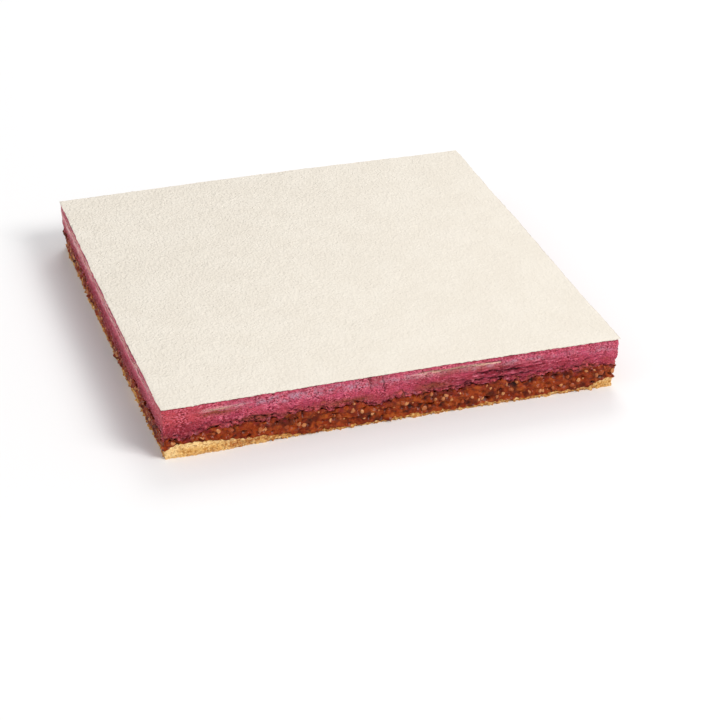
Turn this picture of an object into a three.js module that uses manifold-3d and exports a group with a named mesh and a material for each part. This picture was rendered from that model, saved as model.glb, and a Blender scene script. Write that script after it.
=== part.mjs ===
// A whole square tray of nougat mousse cake, in millimetres.
// It stands on Z = 0 with its middle over the origin, its front towards -Y and its left side towards -X.
// From the bottom up it is a sponge base, a nougat crunch with chopped nuts, a thick berry mousse, a thin
// sponge, a thin berry mousse and a sprayed velvet coat. Each layer is one solid that runs right through,
// and two neighbours share the same faces where they meet.
// The sides are knife cuts: the layers wander up and down along them, and the knife has drawn the thick
// mousse up as a thin skirt over the edge of the sponge above it, which stays bare only in streaks.
import * as THREE from "three";
import { mergeVertices } from "three/addons/utils/BufferGeometryUtils.js";
import Module from "manifold-3d";

// ---- Driving dimensions ----
const SIDE = 285; // length and width
const HEIGHT = 34.3;
const CORNER = 1; // radius of the upright corners
const COAT = 0.8; // thickness of the velvet coat
const UPPER_MOUSSE = 4.3;
const MIDDLE_SPONGE = 3.8;
const CRUNCH = 4.5; // thickness of the crunch inside the cake
const BASE = 6; // thickness of the base inside the cake
const RIM = 14; // width of the band along the sides in which the layers wander

// Heights along the cut sides.
const BASE_EDGE = 2.1; // the base is pressed thin along most of the sides
const CRUNCH_EDGE = 15.3; // top of the crunch
const SPONGE_EDGE_INSET = 0.6; // how far the middle sponge stays behind the sides
const LIP_GAP = 0.5; // what the skirt leaves free under the upper mousse
const LEAST_SKIRT = 0.8; // how far the skirt reaches up even where the sponge is bare

// How far each side is hollow at its middle, and how far its foot stands in: front, right, back, left.
const HOLLOWS = [1.4, -0.5, -1.4, -0.9];
const FOOT_INSETS = [0.3, 1.7, 1.0, 1.3];
const WORN_HEIGHT = 14; // below this the wear of the foot comes in
const MITRE = 20; // how far from a corner the side round it begins to draw the wall along

// Swells of a layer's edge: where they peak, by how much, and how far they reach before and after that.
// Places are distances round the cake from its front left corner, by way of the front.
const SIDE_SWELLS = [
  { at: 303, rise: 0.8, before: 26, after: 16 },
  { at: 450, rise: 0.5, before: 40, after: 50 },
  { at: 556, rise: 1.0, before: 24, after: 20 },
  { at: 680, rise: 0.8, before: 60, after: 110 },
];
// Where the foot is worn away, or stands out where the rise is negative.
const FOOT_WEAR = [
  { at: 16, rise: -1.2, before: 14, after: 34 },
  { at: 284, rise: 1.6, before: 9, after: 4 },
  { at: 570, rise: 0.8, before: 8, after: 8 },
  { at: 855, rise: 0.8, before: 8, after: 8 },
];
const BASE_SWELLS = [
  { at: 6, rise: 6.8, before: 8, after: 58 },
  { at: 60, rise: 1.4, before: 16, after: 8 },
  { at: 117, rise: 0.8, before: 9, after: 9 },
  { at: 284, rise: 4.4, before: 11, after: 30 },
  { at: 420, rise: 2.6, before: 50, after: 60 },
  { at: 735, rise: 3.2, before: 70, after: 45 },
  { at: 1072, rise: 2.6, before: 26, after: 12 },
];
const CRUNCH_SWELLS = [
  { at: 3, rise: -3.4, before: 16, after: 14 },
  { at: 46, rise: 1.2, before: 12, after: 9 },
  { at: 60, rise: -1.4, before: 8, after: 8 },
  { at: 88, rise: 0.6, before: 9, after: 9 },
  { at: 102, rise: -1.0, before: 9, after: 9 },
  { at: 136, rise: -1.9, before: 12, after: 9 },
  { at: 166, rise: 1.4, before: 14, after: 9 },
  { at: 184, rise: -1.8, before: 8, after: 8 },
  { at: 208, rise: 0.9, before: 9, after: 14 },
  { at: 280, rise: 0.9, before: 16, after: 24 },
  { at: 360, rise: 1.6, before: 30, after: 30 },
  { at: 505, rise: -2.0, before: 35, after: 30 },
  { at: 640, rise: 1.5, before: 30, after: 40 },
  { at: 800, rise: -1.7, before: 35, after: 30 },
  { at: 985, rise: -6.4, before: 116, after: 118 },
];
const SPONGE_SWELLS = [
  { at: 28, rise: -0.9, before: 60, after: 46 },
  { at: 190, rise: 0.3, before: 60, after: 60 },
];
// Hollows torn out where the thick mousse meets the crunch.
const CAVITIES = [
  { at: 30, rise: 0.9, before: 7, after: 9 },
  { at: 63, rise: 1.9, before: 9, after: 8 },
  { at: 183, rise: 1.8, before: 9, after: 8 },
  { at: 236, rise: 1.2, before: 12, after: 10 },
  { at: 372, rise: 1.5, before: 12, after: 14 },
  { at: 520, rise: 1.3, before: 10, after: 12 },
  { at: 668, rise: 1.7, before: 14, after: 10 },
  { at: 812, rise: 1.4, before: 10, after: 14 },
  { at: 965, rise: 1.6, before: 12, after: 12 },
  { at: 1075, rise: 1.1, before: 10, after: 10 },
];
// Where the edge of the middle sponge shows: how much of it, as a share of its height.
const BARE_STREAKS = [
  { at: 34, rise: 0.5, before: 6, after: 8 },
  { at: 180, rise: 0.45, before: 22, after: 20 },
  { at: 332, rise: 0.55, before: 24, after: 34 },
  { at: 478, rise: 0.6, before: 40, after: 26 },
  { at: 640, rise: 0.5, before: 30, after: 46 },
  { at: 790, rise: 0.6, before: 26, after: 20 },
  { at: 905, rise: 0.85, before: 46, after: 60 },
  { at: 1030, rise: 0.85, before: 70, after: 66 },
];

// Relief of the cut sides, from crest to hollow.
const CRUMB_RELIEF = 0.8; // base
const CRUNCH_RELIEF = 1.2;
const DRAG_RELIEF = 0.4; // long shallow waves left in the mousse by the knife
const COAT_OVERHANG = 0.25; // how far the ragged rim of the coat stands out

const NUTS = 104;
const NUT_HALF_SIZES = { least: [1.0, 0.9, 1.1], most: [2.3, 1.7, 1.7] }; // along the side, up, inwards
const NUT_DEPTH = 0.3; // how far a nut's middle lies inside the wall
const NUT_CLEARANCE = 0.6; // between a nut and the layers above and below the crunch
const NUT_KNOCK = 0.4; // how far a nut's corners may be knocked in, as a share of its half size
const NUT_REACH = 1.2; // how far a turned block's corners reach, against its half size
const NUT_SEED = 31;

// ---- How finely the outline is divided ----
const STEPS_A_SIDE = 46;
const CORNER_STEPS = [0, 0.4]; // places between a corner and where its rounding ends, as shares of its radius
const STATIONS_A_SIDE = STEPS_A_SIDE + 2 * CORNER_STEPS.length;
const STATIONS_AN_INNER_POINT = 8;

// Levels at which the layers meet inside the cake.
const COAT_LEVEL = HEIGHT - COAT;
const SPONGE_TOP = COAT_LEVEL - UPPER_MOUSSE;
const SPONGE_FOOT = SPONGE_TOP - MIDDLE_SPONGE;
const CRUNCH_TOP = BASE + CRUNCH;

const ROUND = 4 * SIDE; // the whole way round, with corners counted as if they were sharp

// Repeatable draws between 0 and 1.
function drawsFrom(seed) {
  let state = seed;
  return () => {
    state = (Math.imul(state, 1664525) + 1013904223) >>> 0;
    return state / 2 ** 32;
  };
}

// The sum of bell-shaped swells at a place round the cake.
function swell(list, along) {
  return list.reduce((sum, { at, rise, before, after }) => {
    const ahead = THREE.MathUtils.euclideanModulo(along - at + ROUND / 2, ROUND) - ROUND / 2;
    return sum + rise * Math.exp(-((ahead / (ahead < 0 ? before : after)) ** 2));
  }, 0);
}

// A smooth wave that closes on itself round the cake, between about -1 and 1, of roughly the given length.
function wave(seed, length) {
  const draw = drawsFrom(seed);
  const parts = Array.from({ length: 5 }, () => ({
    turns: Math.round((ROUND / length) * (0.6 + 0.9 * draw())),
    phase: 2 * Math.PI * draw(),
  }));
  return (along) => {
    const round = (2 * Math.PI * along) / ROUND;
    return parts.reduce((sum, { turns, phase }) => sum + Math.sin(turns * round + phase), 0) / 3;
  };
}

// A rough edge: a value for each short stretch round the cake, from 0 to the given depth.
function grit(seed, depth) {
  const draw = drawsFrom(seed);
  const depths = Array.from({ length: 4 * STATIONS_A_SIDE }, () => depth * draw());
  return (along) => depths[Math.round((along / ROUND) * depths.length) % depths.length];
}

// ---- The outline ----

// The outline is a square, walked round from its front left corner. A place on it knows its side and how far
// along that side it is, and the ways in and along from there.
function placeAt(along) {
  const side = Math.floor(along / SIDE) % 4;
  const onSide = along - Math.floor(along / SIDE) * SIDE;
  const turned = (x, y) => new THREE.Vector2(x, y).rotateAround(new THREE.Vector2(), (side * Math.PI) / 2);
  return {
    along,
    side,
    onSide,
    point: turned(onSide - SIDE / 2, -SIDE / 2),
    inward: turned(0, 1),
    onward: turned(1, 0),
  };
}

function outlineStations() {
  const stations = [];
  for (let side = 0; side < 4; side++) {
    const start = side * SIDE;
    CORNER_STEPS.forEach((share) => stations.push(placeAt(start + share * CORNER)));
    for (let i = 0; i <= STEPS_A_SIDE; i++)
      stations.push(placeAt(start + CORNER + ((SIDE - 2 * CORNER) * i) / STEPS_A_SIDE));
    CORNER_STEPS.slice(1).forEach((share) => stations.push(placeAt(start + SIDE - share * CORNER)));
  }
  return stations;
}

const STATIONS = outlineStations();

// How far the rounding of a corner draws a side in, at a distance from the corner.
function rounded(toCorner) {
  const onArc = Math.min(CORNER, toCorner + CORNER * (1 - Math.SQRT1_2));
  return CORNER - Math.sqrt(CORNER ** 2 - (CORNER - onArc) ** 2);
}

// How far a side stands in at a height, apart from its own relief.
function drawnIn(side, onSide, z) {
  const along = side * SIDE + onSide;
  const hollow = HOLLOWS[side] * Math.sin((Math.PI * onSide) / SIDE) - swell(SIDE_SWELLS, along);
  const lean = FOOT_INSETS[side] * (1 - z / HEIGHT);
  const wear = swell(FOOT_WEAR, along) * Math.max(0, 1 - z / WORN_HEIGHT);
  return hollow + lean + wear + rounded(Math.min(onSide, SIDE - onSide));
}

// A point drawn in from a place on the outline. Towards a corner it is also drawn along, by what the side
// round the corner stands in there, so that the two sides meet.
function drawnPoint({ onSide, point, inward, onward }, z, own, before, after) {
  const start = Math.max(0, 1 - onSide / MITRE);
  const end = Math.max(0, 1 - (SIDE - onSide) / MITRE);
  const nudge = start * before - end * after;
  const flat = point.clone().addScaledVector(inward, own).addScaledVector(onward, nudge);
  return new THREE.Vector3(flat.x, flat.y, z);
}

function wallPoint(place, z, relief) {
  const { side, onSide } = place;
  const own = drawnIn(side, onSide, z) + relief;
  const before = drawnIn((side + 3) % 4, SIDE, z) + relief;
  const after = drawnIn((side + 1) % 4, 0, z) + relief;
  return drawnPoint(place, z, own, before, after);
}

// A closed line of points round the cake, from its height and its relief at each place.
function ring(height, inset) {
  return STATIONS.map((place) => wallPoint(place, height(place.along), inset(place.along)));
}

// ---- The edges at which the layers meet along the sides ----

const baseWave = wave(3, 60);
const crunchWave = wave(5, 38);
const spongeWave = wave(7, 90);
const coatWave = wave(11, 30);
const skirtWave = wave(13, 22);

const baseEdge = (along) => BASE_EDGE + swell(BASE_SWELLS, along) + 0.35 * baseWave(along);
const crunchEdge = (along) => CRUNCH_EDGE + swell(CRUNCH_SWELLS, along) + 0.6 * crunchWave(along);
const spongeLift = (along) => swell(SPONGE_SWELLS, along) + 0.3 * spongeWave(along);
const spongeFoot = (along) => SPONGE_FOOT + spongeLift(along);
const spongeTop = (along) => SPONGE_TOP + spongeLift(along);
const coatEdge = (along) => COAT_LEVEL + 0.15 * coatWave(along);

// The skirt of thick mousse covers the sponge to just under the upper mousse, except in the bare streaks.
function skirtTop(along) {
  const full = MIDDLE_SPONGE - LIP_GAP;
  const covered = full - MIDDLE_SPONGE * swell(BARE_STREAKS, along) + 0.15 * skirtWave(along);
  return spongeFoot(along) + THREE.MathUtils.clamp(covered, LEAST_SKIRT, full);
}

const none = () => 0;
const drag = (seed, length) => {
  const shape = wave(seed, length);
  return (along) => DRAG_RELIEF * (0.5 + 0.5 * shape(along));
};
const between = (lower, upper, share) => (along) => THREE.MathUtils.lerp(lower(along), upper(along), share);

const baseTopRing = ring(baseEdge, grit(21, 0.5 * CRUMB_RELIEF));
const crunchTopGrit = grit(23, 0.4 * CRUNCH_RELIEF);
const crunchTopRing = ring(crunchEdge, (along) => swell(CAVITIES, along) + crunchTopGrit(along));
const spongeFootRing = ring(spongeFoot, () => SPONGE_EDGE_INSET);
const skirtInnerRing = ring(skirtTop, () => SPONGE_EDGE_INSET);
const spongeTopRing = ring(spongeTop, () => SPONGE_EDGE_INSET);
const coatRing = ring(coatEdge, drag(29, 45));

// ---- Solids ----

// A closed geometry through rings of points, from the lowest up. Its underside and its top come level at an
// inner ring, RIM in from the wall, and are flat from there to the middle.
function layerGeometry(rings, footLevel, topLevel) {
  const count = STATIONS.length;
  const innerCount = count / STATIONS_AN_INNER_POINT;
  const points = rings.flat();
  const faces = [];
  for (let r = 0; r + 1 < rings.length; r++)
    for (let i = 0; i < count; i++) {
      const next = (i + 1) % count;
      const [a, b, c, d] = [r * count + i, r * count + next, (r + 1) * count + next, (r + 1) * count + i];
      // Split along the diagonal that climbs, so that two layers split a wall they share alike.
      if (points[a].z < points[d].z) faces.push([a, b, c], [a, c, d]);
      else faces.push([a, b, d], [b, c, d]);
    }
  const cap = (ringStart, level, upwards) => {
    const inner = points.length;
    for (let j = 0; j < innerCount; j++) {
      points.push(drawnPoint(STATIONS[j * STATIONS_AN_INNER_POINT], level, RIM, RIM, RIM));
    }
    const middle = points.push(new THREE.Vector3(0, 0, level)) - 1;
    const add = (a, b, c) => faces.push(upwards ? [a, b, c] : [a, c, b]);
    for (let j = 0; j < innerCount; j++) {
      const here = inner + j;
      const next = inner + ((j + 1) % innerCount);
      for (let k = 0; k < STATIONS_AN_INNER_POINT; k++) {
        const i = j * STATIONS_AN_INNER_POINT + k;
        add(ringStart + i, ringStart + ((i + 1) % count), here);
      }
      add(ringStart + (((j + 1) * STATIONS_AN_INNER_POINT) % count), next, here);
      add(here, next, middle);
    }
  };
  cap(0, footLevel, false);
  cap((rings.length - 1) * count, topLevel, true);
  const geometry = new THREE.BufferGeometry().setFromPoints(points);
  return geometry.setIndex(faces.flat());
}

function baseGeometry() {
  const foot = ring(none, grit(41, CRUMB_RELIEF));
  const crumbs = ring(between(none, baseEdge, 0.3), grit(43, 0.7 * CRUMB_RELIEF));
  const belly = ring(between(none, baseEdge, 0.7), grit(45, 0.6 * CRUMB_RELIEF));
  return layerGeometry([foot, crumbs, belly, baseTopRing], 0, BASE);
}

function crunchGeometry() {
  const low = ring(between(baseEdge, crunchEdge, 0.33), grit(51, CRUNCH_RELIEF));
  const high = ring(between(baseEdge, crunchEdge, 0.68), grit(53, CRUNCH_RELIEF));
  return layerGeometry([baseTopRing, low, high, crunchTopRing], BASE, CRUNCH_TOP);
}

function lowerMousseGeometry() {
  const dragged = [0.16, 0.5, 0.8].map((share, i) =>
    ring(between(crunchEdge, skirtTop, share), drag(61 + i, 40 + 12 * i)));
  const skirtOuter = ring(skirtTop, none);
  return layerGeometry(
    [crunchTopRing, ...dragged, skirtOuter, skirtInnerRing, spongeFootRing],
    CRUNCH_TOP,
    SPONGE_FOOT,
  );
}

function middleSpongeGeometry() {
  return layerGeometry([spongeFootRing, skirtInnerRing, spongeTopRing], SPONGE_FOOT, SPONGE_TOP);
}

function upperMousseGeometry() {
  const lip = ring((along) => spongeTop(along) - 0.1, none);
  const face = ring(between(spongeTop, coatEdge, 0.55), drag(71, 52));
  return layerGeometry([spongeTopRing, lip, face, coatRing], SPONGE_TOP, COAT_LEVEL);
}

function velvetCoatGeometry() {
  const ragged = grit(81, COAT_OVERHANG);
  const rim = ring(between(coatEdge, () => HEIGHT, 0.5), (along) => -ragged(along));
  const shoulder = ring(() => HEIGHT, () => 0.4);
  return layerGeometry([coatRing, rim, shoulder], COAT_LEVEL, HEIGHT);
}

// A chopped nut: a small block with its corners knocked about, turned a little its own way.
function nutGeometry(centre, { inward, onward }, halves, draw) {
  const block = new THREE.BoxGeometry(2, 2, 2).deleteAttribute("normal").deleteAttribute("uv");
  const lump = mergeVertices(block);
  const corners = lump.getAttribute("position");
  for (let i = 0; i < corners.count; i++) {
    const knocked = () => 1 - NUT_KNOCK * draw();
    corners.setXYZ(i, corners.getX(i) * knocked(), corners.getY(i) * knocked(), corners.getZ(i) * knocked());
  }
  const inTheWall = new THREE.Matrix4().makeBasis(
    new THREE.Vector3(onward.x, onward.y, 0),
    new THREE.Vector3(0, 0, 1),
    new THREE.Vector3(-inward.x, -inward.y, 0),
  );
  return lump
    .rotateX(Math.PI * draw())
    .rotateZ(Math.PI * draw())
    .scale(...halves.map((half) => half / NUT_REACH))
    .applyMatrix4(inTheWall)
    .translate(centre.x, centre.y, centre.z);
}

// Nuts spread evenly round the cake in the wall of the crunch. One that has no room between the layers above
// and below is made smaller, or left out where even the smallest would touch them.
function nutGeometries() {
  const draw = drawsFrom(NUT_SEED);
  const nuts = [];
  for (let i = 0; i < NUTS; i++) {
    const along = ((i + 0.7 * draw()) / NUTS) * ROUND;
    const halves = NUT_HALF_SIZES.least.map((least, k) =>
      THREE.MathUtils.lerp(least, NUT_HALF_SIZES.most[k], draw()));
    const height = draw();
    const places = [-1, 0, 1].map((step) => along + step * halves[0]);
    const lowest = Math.max(...places.map(baseEdge)) + NUT_CLEARANCE;
    const highest = Math.min(...places.map(crunchEdge)) - NUT_CLEARANCE;
    halves[1] = Math.min(halves[1], (highest - lowest) / 2);
    if (halves[1] < NUT_HALF_SIZES.least[1]) continue;
    const z = THREE.MathUtils.lerp(lowest + halves[1], highest - halves[1], height);
    const place = placeAt(along);
    const centre = wallPoint(place, z, NUT_DEPTH);
    nuts.push(nutGeometry(centre, place, halves, draw));
  }
  return nuts;
}

// ---- Joining ----

const wasm = await Module();
wasm.setup();

function solidOf(geometry) {
  const merged = geometry.index ? geometry : mergeVertices(geometry);
  return new wasm.Manifold(
    new wasm.Mesh({
      numProp: 3,
      vertProperties: merged.getAttribute("position").array,
      triVerts: new Uint32Array(merged.index.array),
    }),
  );
}

function geometryOf(solid) {
  const { vertProperties, triVerts } = solid.getMesh();
  return new THREE.BufferGeometry()
    .setAttribute("position", new THREE.BufferAttribute(vertProperties, 3))
    .setIndex(new THREE.BufferAttribute(triVerts, 1));
}

function crunchWithNuts() {
  const solid = nutGeometries().reduce((whole, nut) => whole.add(solidOf(nut)), solidOf(crunchGeometry()));
  return geometryOf(solid);
}

// ---- The cake ----

function layerMesh(name, geometry, color, roughness) {
  geometry.computeVertexNormals();
  const mesh = new THREE.Mesh(geometry, new THREE.MeshStandardMaterial({ color, roughness, metalness: 0 }));
  mesh.name = name;
  return mesh;
}

const cake = new THREE.Group();
cake.add(
  layerMesh("base_sponge", baseGeometry(), "#e3bd7c", 0.9),
  layerMesh("crunch_layer", crunchWithNuts(), "#8a4a26", 0.4),
  layerMesh("lower_mousse", lowerMousseGeometry(), "#a83c50", 0.5),
  layerMesh("middle_sponge", middleSpongeGeometry(), "#d8b892", 0.9),
  layerMesh("upper_mousse", upperMousseGeometry(), "#b84a62", 0.5),
  layerMesh("velvet_coat", velvetCoatGeometry(), "#f2eadc", 0.8),
);

export default cake;
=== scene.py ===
"""A whole square tray of nougat mousse cake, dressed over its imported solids.

The four cut sides are worked out on one flat strip: one way it runs round the cake from the front left corner
by way of the front, the other way it runs up, and both are in millimetres. Where the layers meet and how deep
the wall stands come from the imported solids. Fine relief and colour masks are laid over that, and each layer
becomes one closed mesh that replaces its solid.
"""
import logging
import math
from dataclasses import dataclass, field
from enum import Enum
from functools import cached_property
from typing import Any, Callable, Sequence

import bmesh
import bpy
import numpy as np
from mathutils import Matrix, Vector
from mathutils.bvhtree import BVHTree


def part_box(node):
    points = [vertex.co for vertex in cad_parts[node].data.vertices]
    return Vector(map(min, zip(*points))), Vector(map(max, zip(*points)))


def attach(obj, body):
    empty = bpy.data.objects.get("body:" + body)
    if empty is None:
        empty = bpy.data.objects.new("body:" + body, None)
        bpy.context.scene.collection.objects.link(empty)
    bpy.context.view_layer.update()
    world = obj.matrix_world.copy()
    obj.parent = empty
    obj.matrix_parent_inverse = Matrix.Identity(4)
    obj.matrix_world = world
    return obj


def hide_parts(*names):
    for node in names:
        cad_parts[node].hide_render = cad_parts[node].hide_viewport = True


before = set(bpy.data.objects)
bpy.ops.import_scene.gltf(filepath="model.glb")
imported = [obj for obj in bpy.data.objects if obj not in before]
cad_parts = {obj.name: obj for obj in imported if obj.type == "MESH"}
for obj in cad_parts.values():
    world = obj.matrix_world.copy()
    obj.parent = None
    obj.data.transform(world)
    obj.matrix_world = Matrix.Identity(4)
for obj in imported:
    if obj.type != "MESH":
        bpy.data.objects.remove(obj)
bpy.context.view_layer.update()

MM = 0.001
BODY = "root"
BAKE_UV = "OFBake"
PLACE = "wall_place"
# Distances round the cake, in mm, over which the looks of the left side set in and fade out again.
LEFT_SIDE_STARTS = (850.0, 870.0)
LEFT_SIDE_ENDS = (1105.0, 1128.0)

Array = np.ndarray
Colour = tuple[float, float, float]

log = logging.getLogger("cake")


# ---- Shapes on the cut sides ----


def smooth_step(value: Array, low: float, high: float) -> Array:
    """A soft switch from 0 at low to 1 at high."""
    share = np.clip((value - low) / (high - low), 0.0, 1.0)
    return share * share * (3.0 - 2.0 * share)


def smooth_fall(value: Array, low: float, high: float) -> Array:
    """A soft switch from 1 at low to 0 at high."""
    return 1.0 - smooth_step(value, low, high)


@dataclass(frozen=True)
class Outline:
    """The outline of the cake, a square, walked anticlockwise from its front left corner.

    Attributes:
        side: Length of a side, in mm.
        mitre: How far from a corner the side round it begins to draw a wall along, in mm.
    """

    side: float = 285.0
    mitre: float = 20.0

    @property
    def whole(self) -> float:
        """The distance all the way round."""
        return 4.0 * self.side

    def drawn(self, along: Array, own: Array | float, before: Array | float, after: Array | float) -> Array:
        """Finds places drawn in from the outline.

        Towards a corner a place is drawn along its side too, so that the walls of two sides meet there.

        Args:
            along: Distances round the cake, in mm.
            own: How far the wall of the place's own side stands in, in mm.
            before: How far the wall of the side before it stands in at the corner between the two.
            after: How far the wall of the side after it stands in at the corner between the two.

        Returns:
            Rows of x and y, in mm.
        """
        side_index = np.floor(along / self.side)
        on_side = along - side_index * self.side
        start = np.maximum(0.0, 1.0 - on_side / self.mitre)
        end = np.maximum(0.0, 1.0 - (self.side - on_side) / self.mitre)
        onward = on_side - self.side / 2 + start * before - end * after
        inward = np.broadcast_to(own - self.side / 2, onward.shape)
        return self._turned(np.stack([onward, inward], -1), side_index * np.pi / 2)

    def out(self, along: Array) -> Array:
        """The way straight out of the cake at distances round it, as rows of x and y."""
        straight = np.broadcast_to(np.array([0.0, -1.0]), (len(along), 2))
        return self._turned(straight, np.floor(along / self.side) * np.pi / 2)

    def along_of(self, places: Array) -> Array:
        """Finds how far round the cake each place lies.

        Args:
            places: Points as rows that begin with x and y, in mm.

        Returns:
            The distance along the outline of each, in mm.
        """
        x, y = places[:, 0], places[:, 1]
        side_index = np.select([-y >= abs(x), x >= abs(y), y >= abs(x)], [0, 1, 2], 3)
        here = self._turned(places[:, :2], -side_index * np.pi / 2)
        return (here[:, 0] + self.side / 2 + side_index * self.side) % self.whole

    @staticmethod
    def _turned(places: Array, turn: Array) -> Array:
        """Turns rows of x and y about the middle of the cake.

        Args:
            places: Rows of x and y.
            turn: How far to turn each of them, in radians.

        Returns:
            Rows of x and y.
        """
        c, s = np.cos(turn), np.sin(turn)
        x, y = places[..., 0], places[..., 1]
        return np.stack([c * x - s * y, s * x + c * y], -1)


@dataclass(frozen=True)
class Strip:
    """The cut sides laid flat: a grid of places, round the cake one way and up the other.

    Attributes:
        pitch: Distance between neighbouring places, in mm.
        margin: How far the grid reaches below the foot and above the top, in mm.
    """

    outline: Outline
    height: float
    pitch: float = 0.5
    margin: float = 2.0

    @cached_property
    def along(self) -> Array:
        """Distances of the columns round the cake."""
        return np.arange(round(self.outline.whole / self.pitch)) * self.pitch

    @cached_property
    def ups(self) -> Array:
        """Heights of the rows."""
        return np.arange(-self.margin, self.height + self.margin, self.pitch)

    @cached_property
    def grid(self) -> tuple[Array, Array]:
        """The distance round and the height of every place, each as an array of columns by rows."""
        return tuple(np.meshgrid(self.along, self.ups, indexing="ij"))

    def noise(self, seed: int, along_size: float, up_size: float) -> Array:
        """Makes smooth noise that closes on itself round the cake.

        Args:
            seed: Seed of the draws.
            along_size: Size of its blotches along the side, in mm.
            up_size: Size of its blotches upwards, in mm.

        Returns:
            An array of columns by rows, with mean 0 and spread 1.
        """
        shape = (len(self.along), len(self.ups))
        return smooth_noise(seed, shape, (along_size / self.pitch, up_size / self.pitch))

    def wander(self, seed: int, size: float) -> Array:
        """Smooth noise with one value for each column, whose swells are as long as the size in mm."""
        return smooth_noise(seed, (len(self.along), 1), (size / self.pitch, 1.0))[:, 0]

    def at(self, values: Array, along: Array, up: Array) -> Array:
        """Reads an array of columns by rows at any places.

        Args:
            values: One value for each place of the grid.
            along: Distances round the cake, in mm.
            up: Heights, in mm.

        Returns:
            The values there, drawn evenly between the four nearest places.
        """
        columns, rows = values.shape
        a = (along / self.pitch) % columns
        u = np.clip((up + self.margin) / self.pitch, 0, rows - 1.001)
        i, j = a.astype(int) % columns, u.astype(int)
        p, q = a - np.floor(a), u - j
        k = (i + 1) % columns
        low = values[i, j] * (1 - p) + values[k, j] * p
        high = values[i, j + 1] * (1 - p) + values[k, j + 1] * p
        return low * (1 - q) + high * q

    def line(self, values: Array, along: Array) -> Array:
        """Reads one value for each column at any distances round the cake."""
        whole = self.outline.whole
        return np.interp(along % whole, np.append(self.along, whole), np.append(values, values[0]))


def smooth_noise(seed: int, shape: tuple[int, int], sizes: tuple[float, float]) -> Array:
    """Makes smooth noise that repeats at its edges, by blurring seeded random draws.

    Args:
        seed: Seed of the draws.
        shape: Columns and rows.
        sizes: Size of the blotches each way, in cells.

    Returns:
        An array of that shape, with mean 0 and spread 1.
    """
    draws = np.random.default_rng(seed).standard_normal(shape)
    spectrum = np.fft.fft2(draws)
    for axis, size in enumerate(sizes):
        turns = np.fft.fftfreq(shape[axis])
        blur = np.exp(-2.0 * (np.pi * turns * size / 4.0) ** 2)
        spectrum *= blur[:, None] if axis == 0 else blur[None, :]
    made = np.fft.ifft2(spectrum).real
    return (made - made.mean()) / made.std()


def ridges(noise: Array, width: float) -> Array:
    """Thin winding lines where the noise changes sign: 1 on the line, 0 off it."""
    return np.clip(1.0 - np.abs(noise) / width, 0.0, 1.0)


@dataclass(frozen=True)
class Patch:
    """A soft blotch on the cut sides.

    Places are distances round the cake and heights, in mm. It fades over before and after along the side,
    and over down and up.
    """

    along: float
    height: float
    before: float
    after: float
    down: float
    up: float
    strength: float = 1.0

    def on(self, along: Array, height: Array, whole: float) -> Array:
        """Works out the blotch's strength at each place.

        Args:
            along: Distances round the cake, in mm.
            height: Heights, in mm.
            whole: The distance all the way round, in mm.

        Returns:
            The strengths.
        """
        ahead = (along - self.along + whole / 2) % whole - whole / 2
        over = height - self.height
        across = ahead / np.where(ahead < 0, self.before, self.after)
        upwards = over / np.where(over < 0, self.down, self.up)
        return self.strength * np.exp(-(np.abs(across) ** 3) - upwards**2)


@dataclass(frozen=True)
class Scratch:
    """A narrow furrow that the knife left, between two points on the cut sides.

    Lengths are in mm. The end is a range of shares of the furrow's height, over which it fades at either end.
    """

    along: float
    foot: float
    top: float
    lean: float
    width: float
    depth: float
    wobble: float = 0.35
    waviness: float = 1.3
    end: tuple[float, float] = (-0.08, 0.12)

    def on(self, along: Array, height: Array) -> Array:
        """Works out how deep the furrow is at each place.

        Args:
            along: Distances round the cake, in mm.
            height: Heights, in mm.

        Returns:
            The depths, in mm.
        """
        share = (height - self.foot) / (self.top - self.foot)
        across = along - self.along - self.lean * share + self.wobble * np.sin(self.waviness * height)
        ends = smooth_step(share, *self.end) * smooth_step(1.0 - share, *self.end)
        return self.depth * ends * np.exp(-((across / self.width) ** 2))


def all_patches(patches: Sequence[Patch], strip: Strip, warp: Array | None = None) -> Array:
    """Adds up soft blotches on the strip, at most 1.

    Args:
        patches: The blotches.
        strip: The strip they lie on.
        warp: How far, in mm, their edges wander up and along at each place.

    Returns:
        An array of columns by rows.
    """
    along, height = strip.grid
    shift = 0.0 if warp is None else warp
    total = sum(p.on(along + 2 * shift, height + shift, strip.outline.whole) for p in patches)
    return np.clip(total, 0.0, 1.0)


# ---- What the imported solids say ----


class Reach(Enum):
    """Which of the points of a solid's wall an edge runs through."""

    LOWEST = "lowest"
    HIGHEST = "highest"


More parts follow.
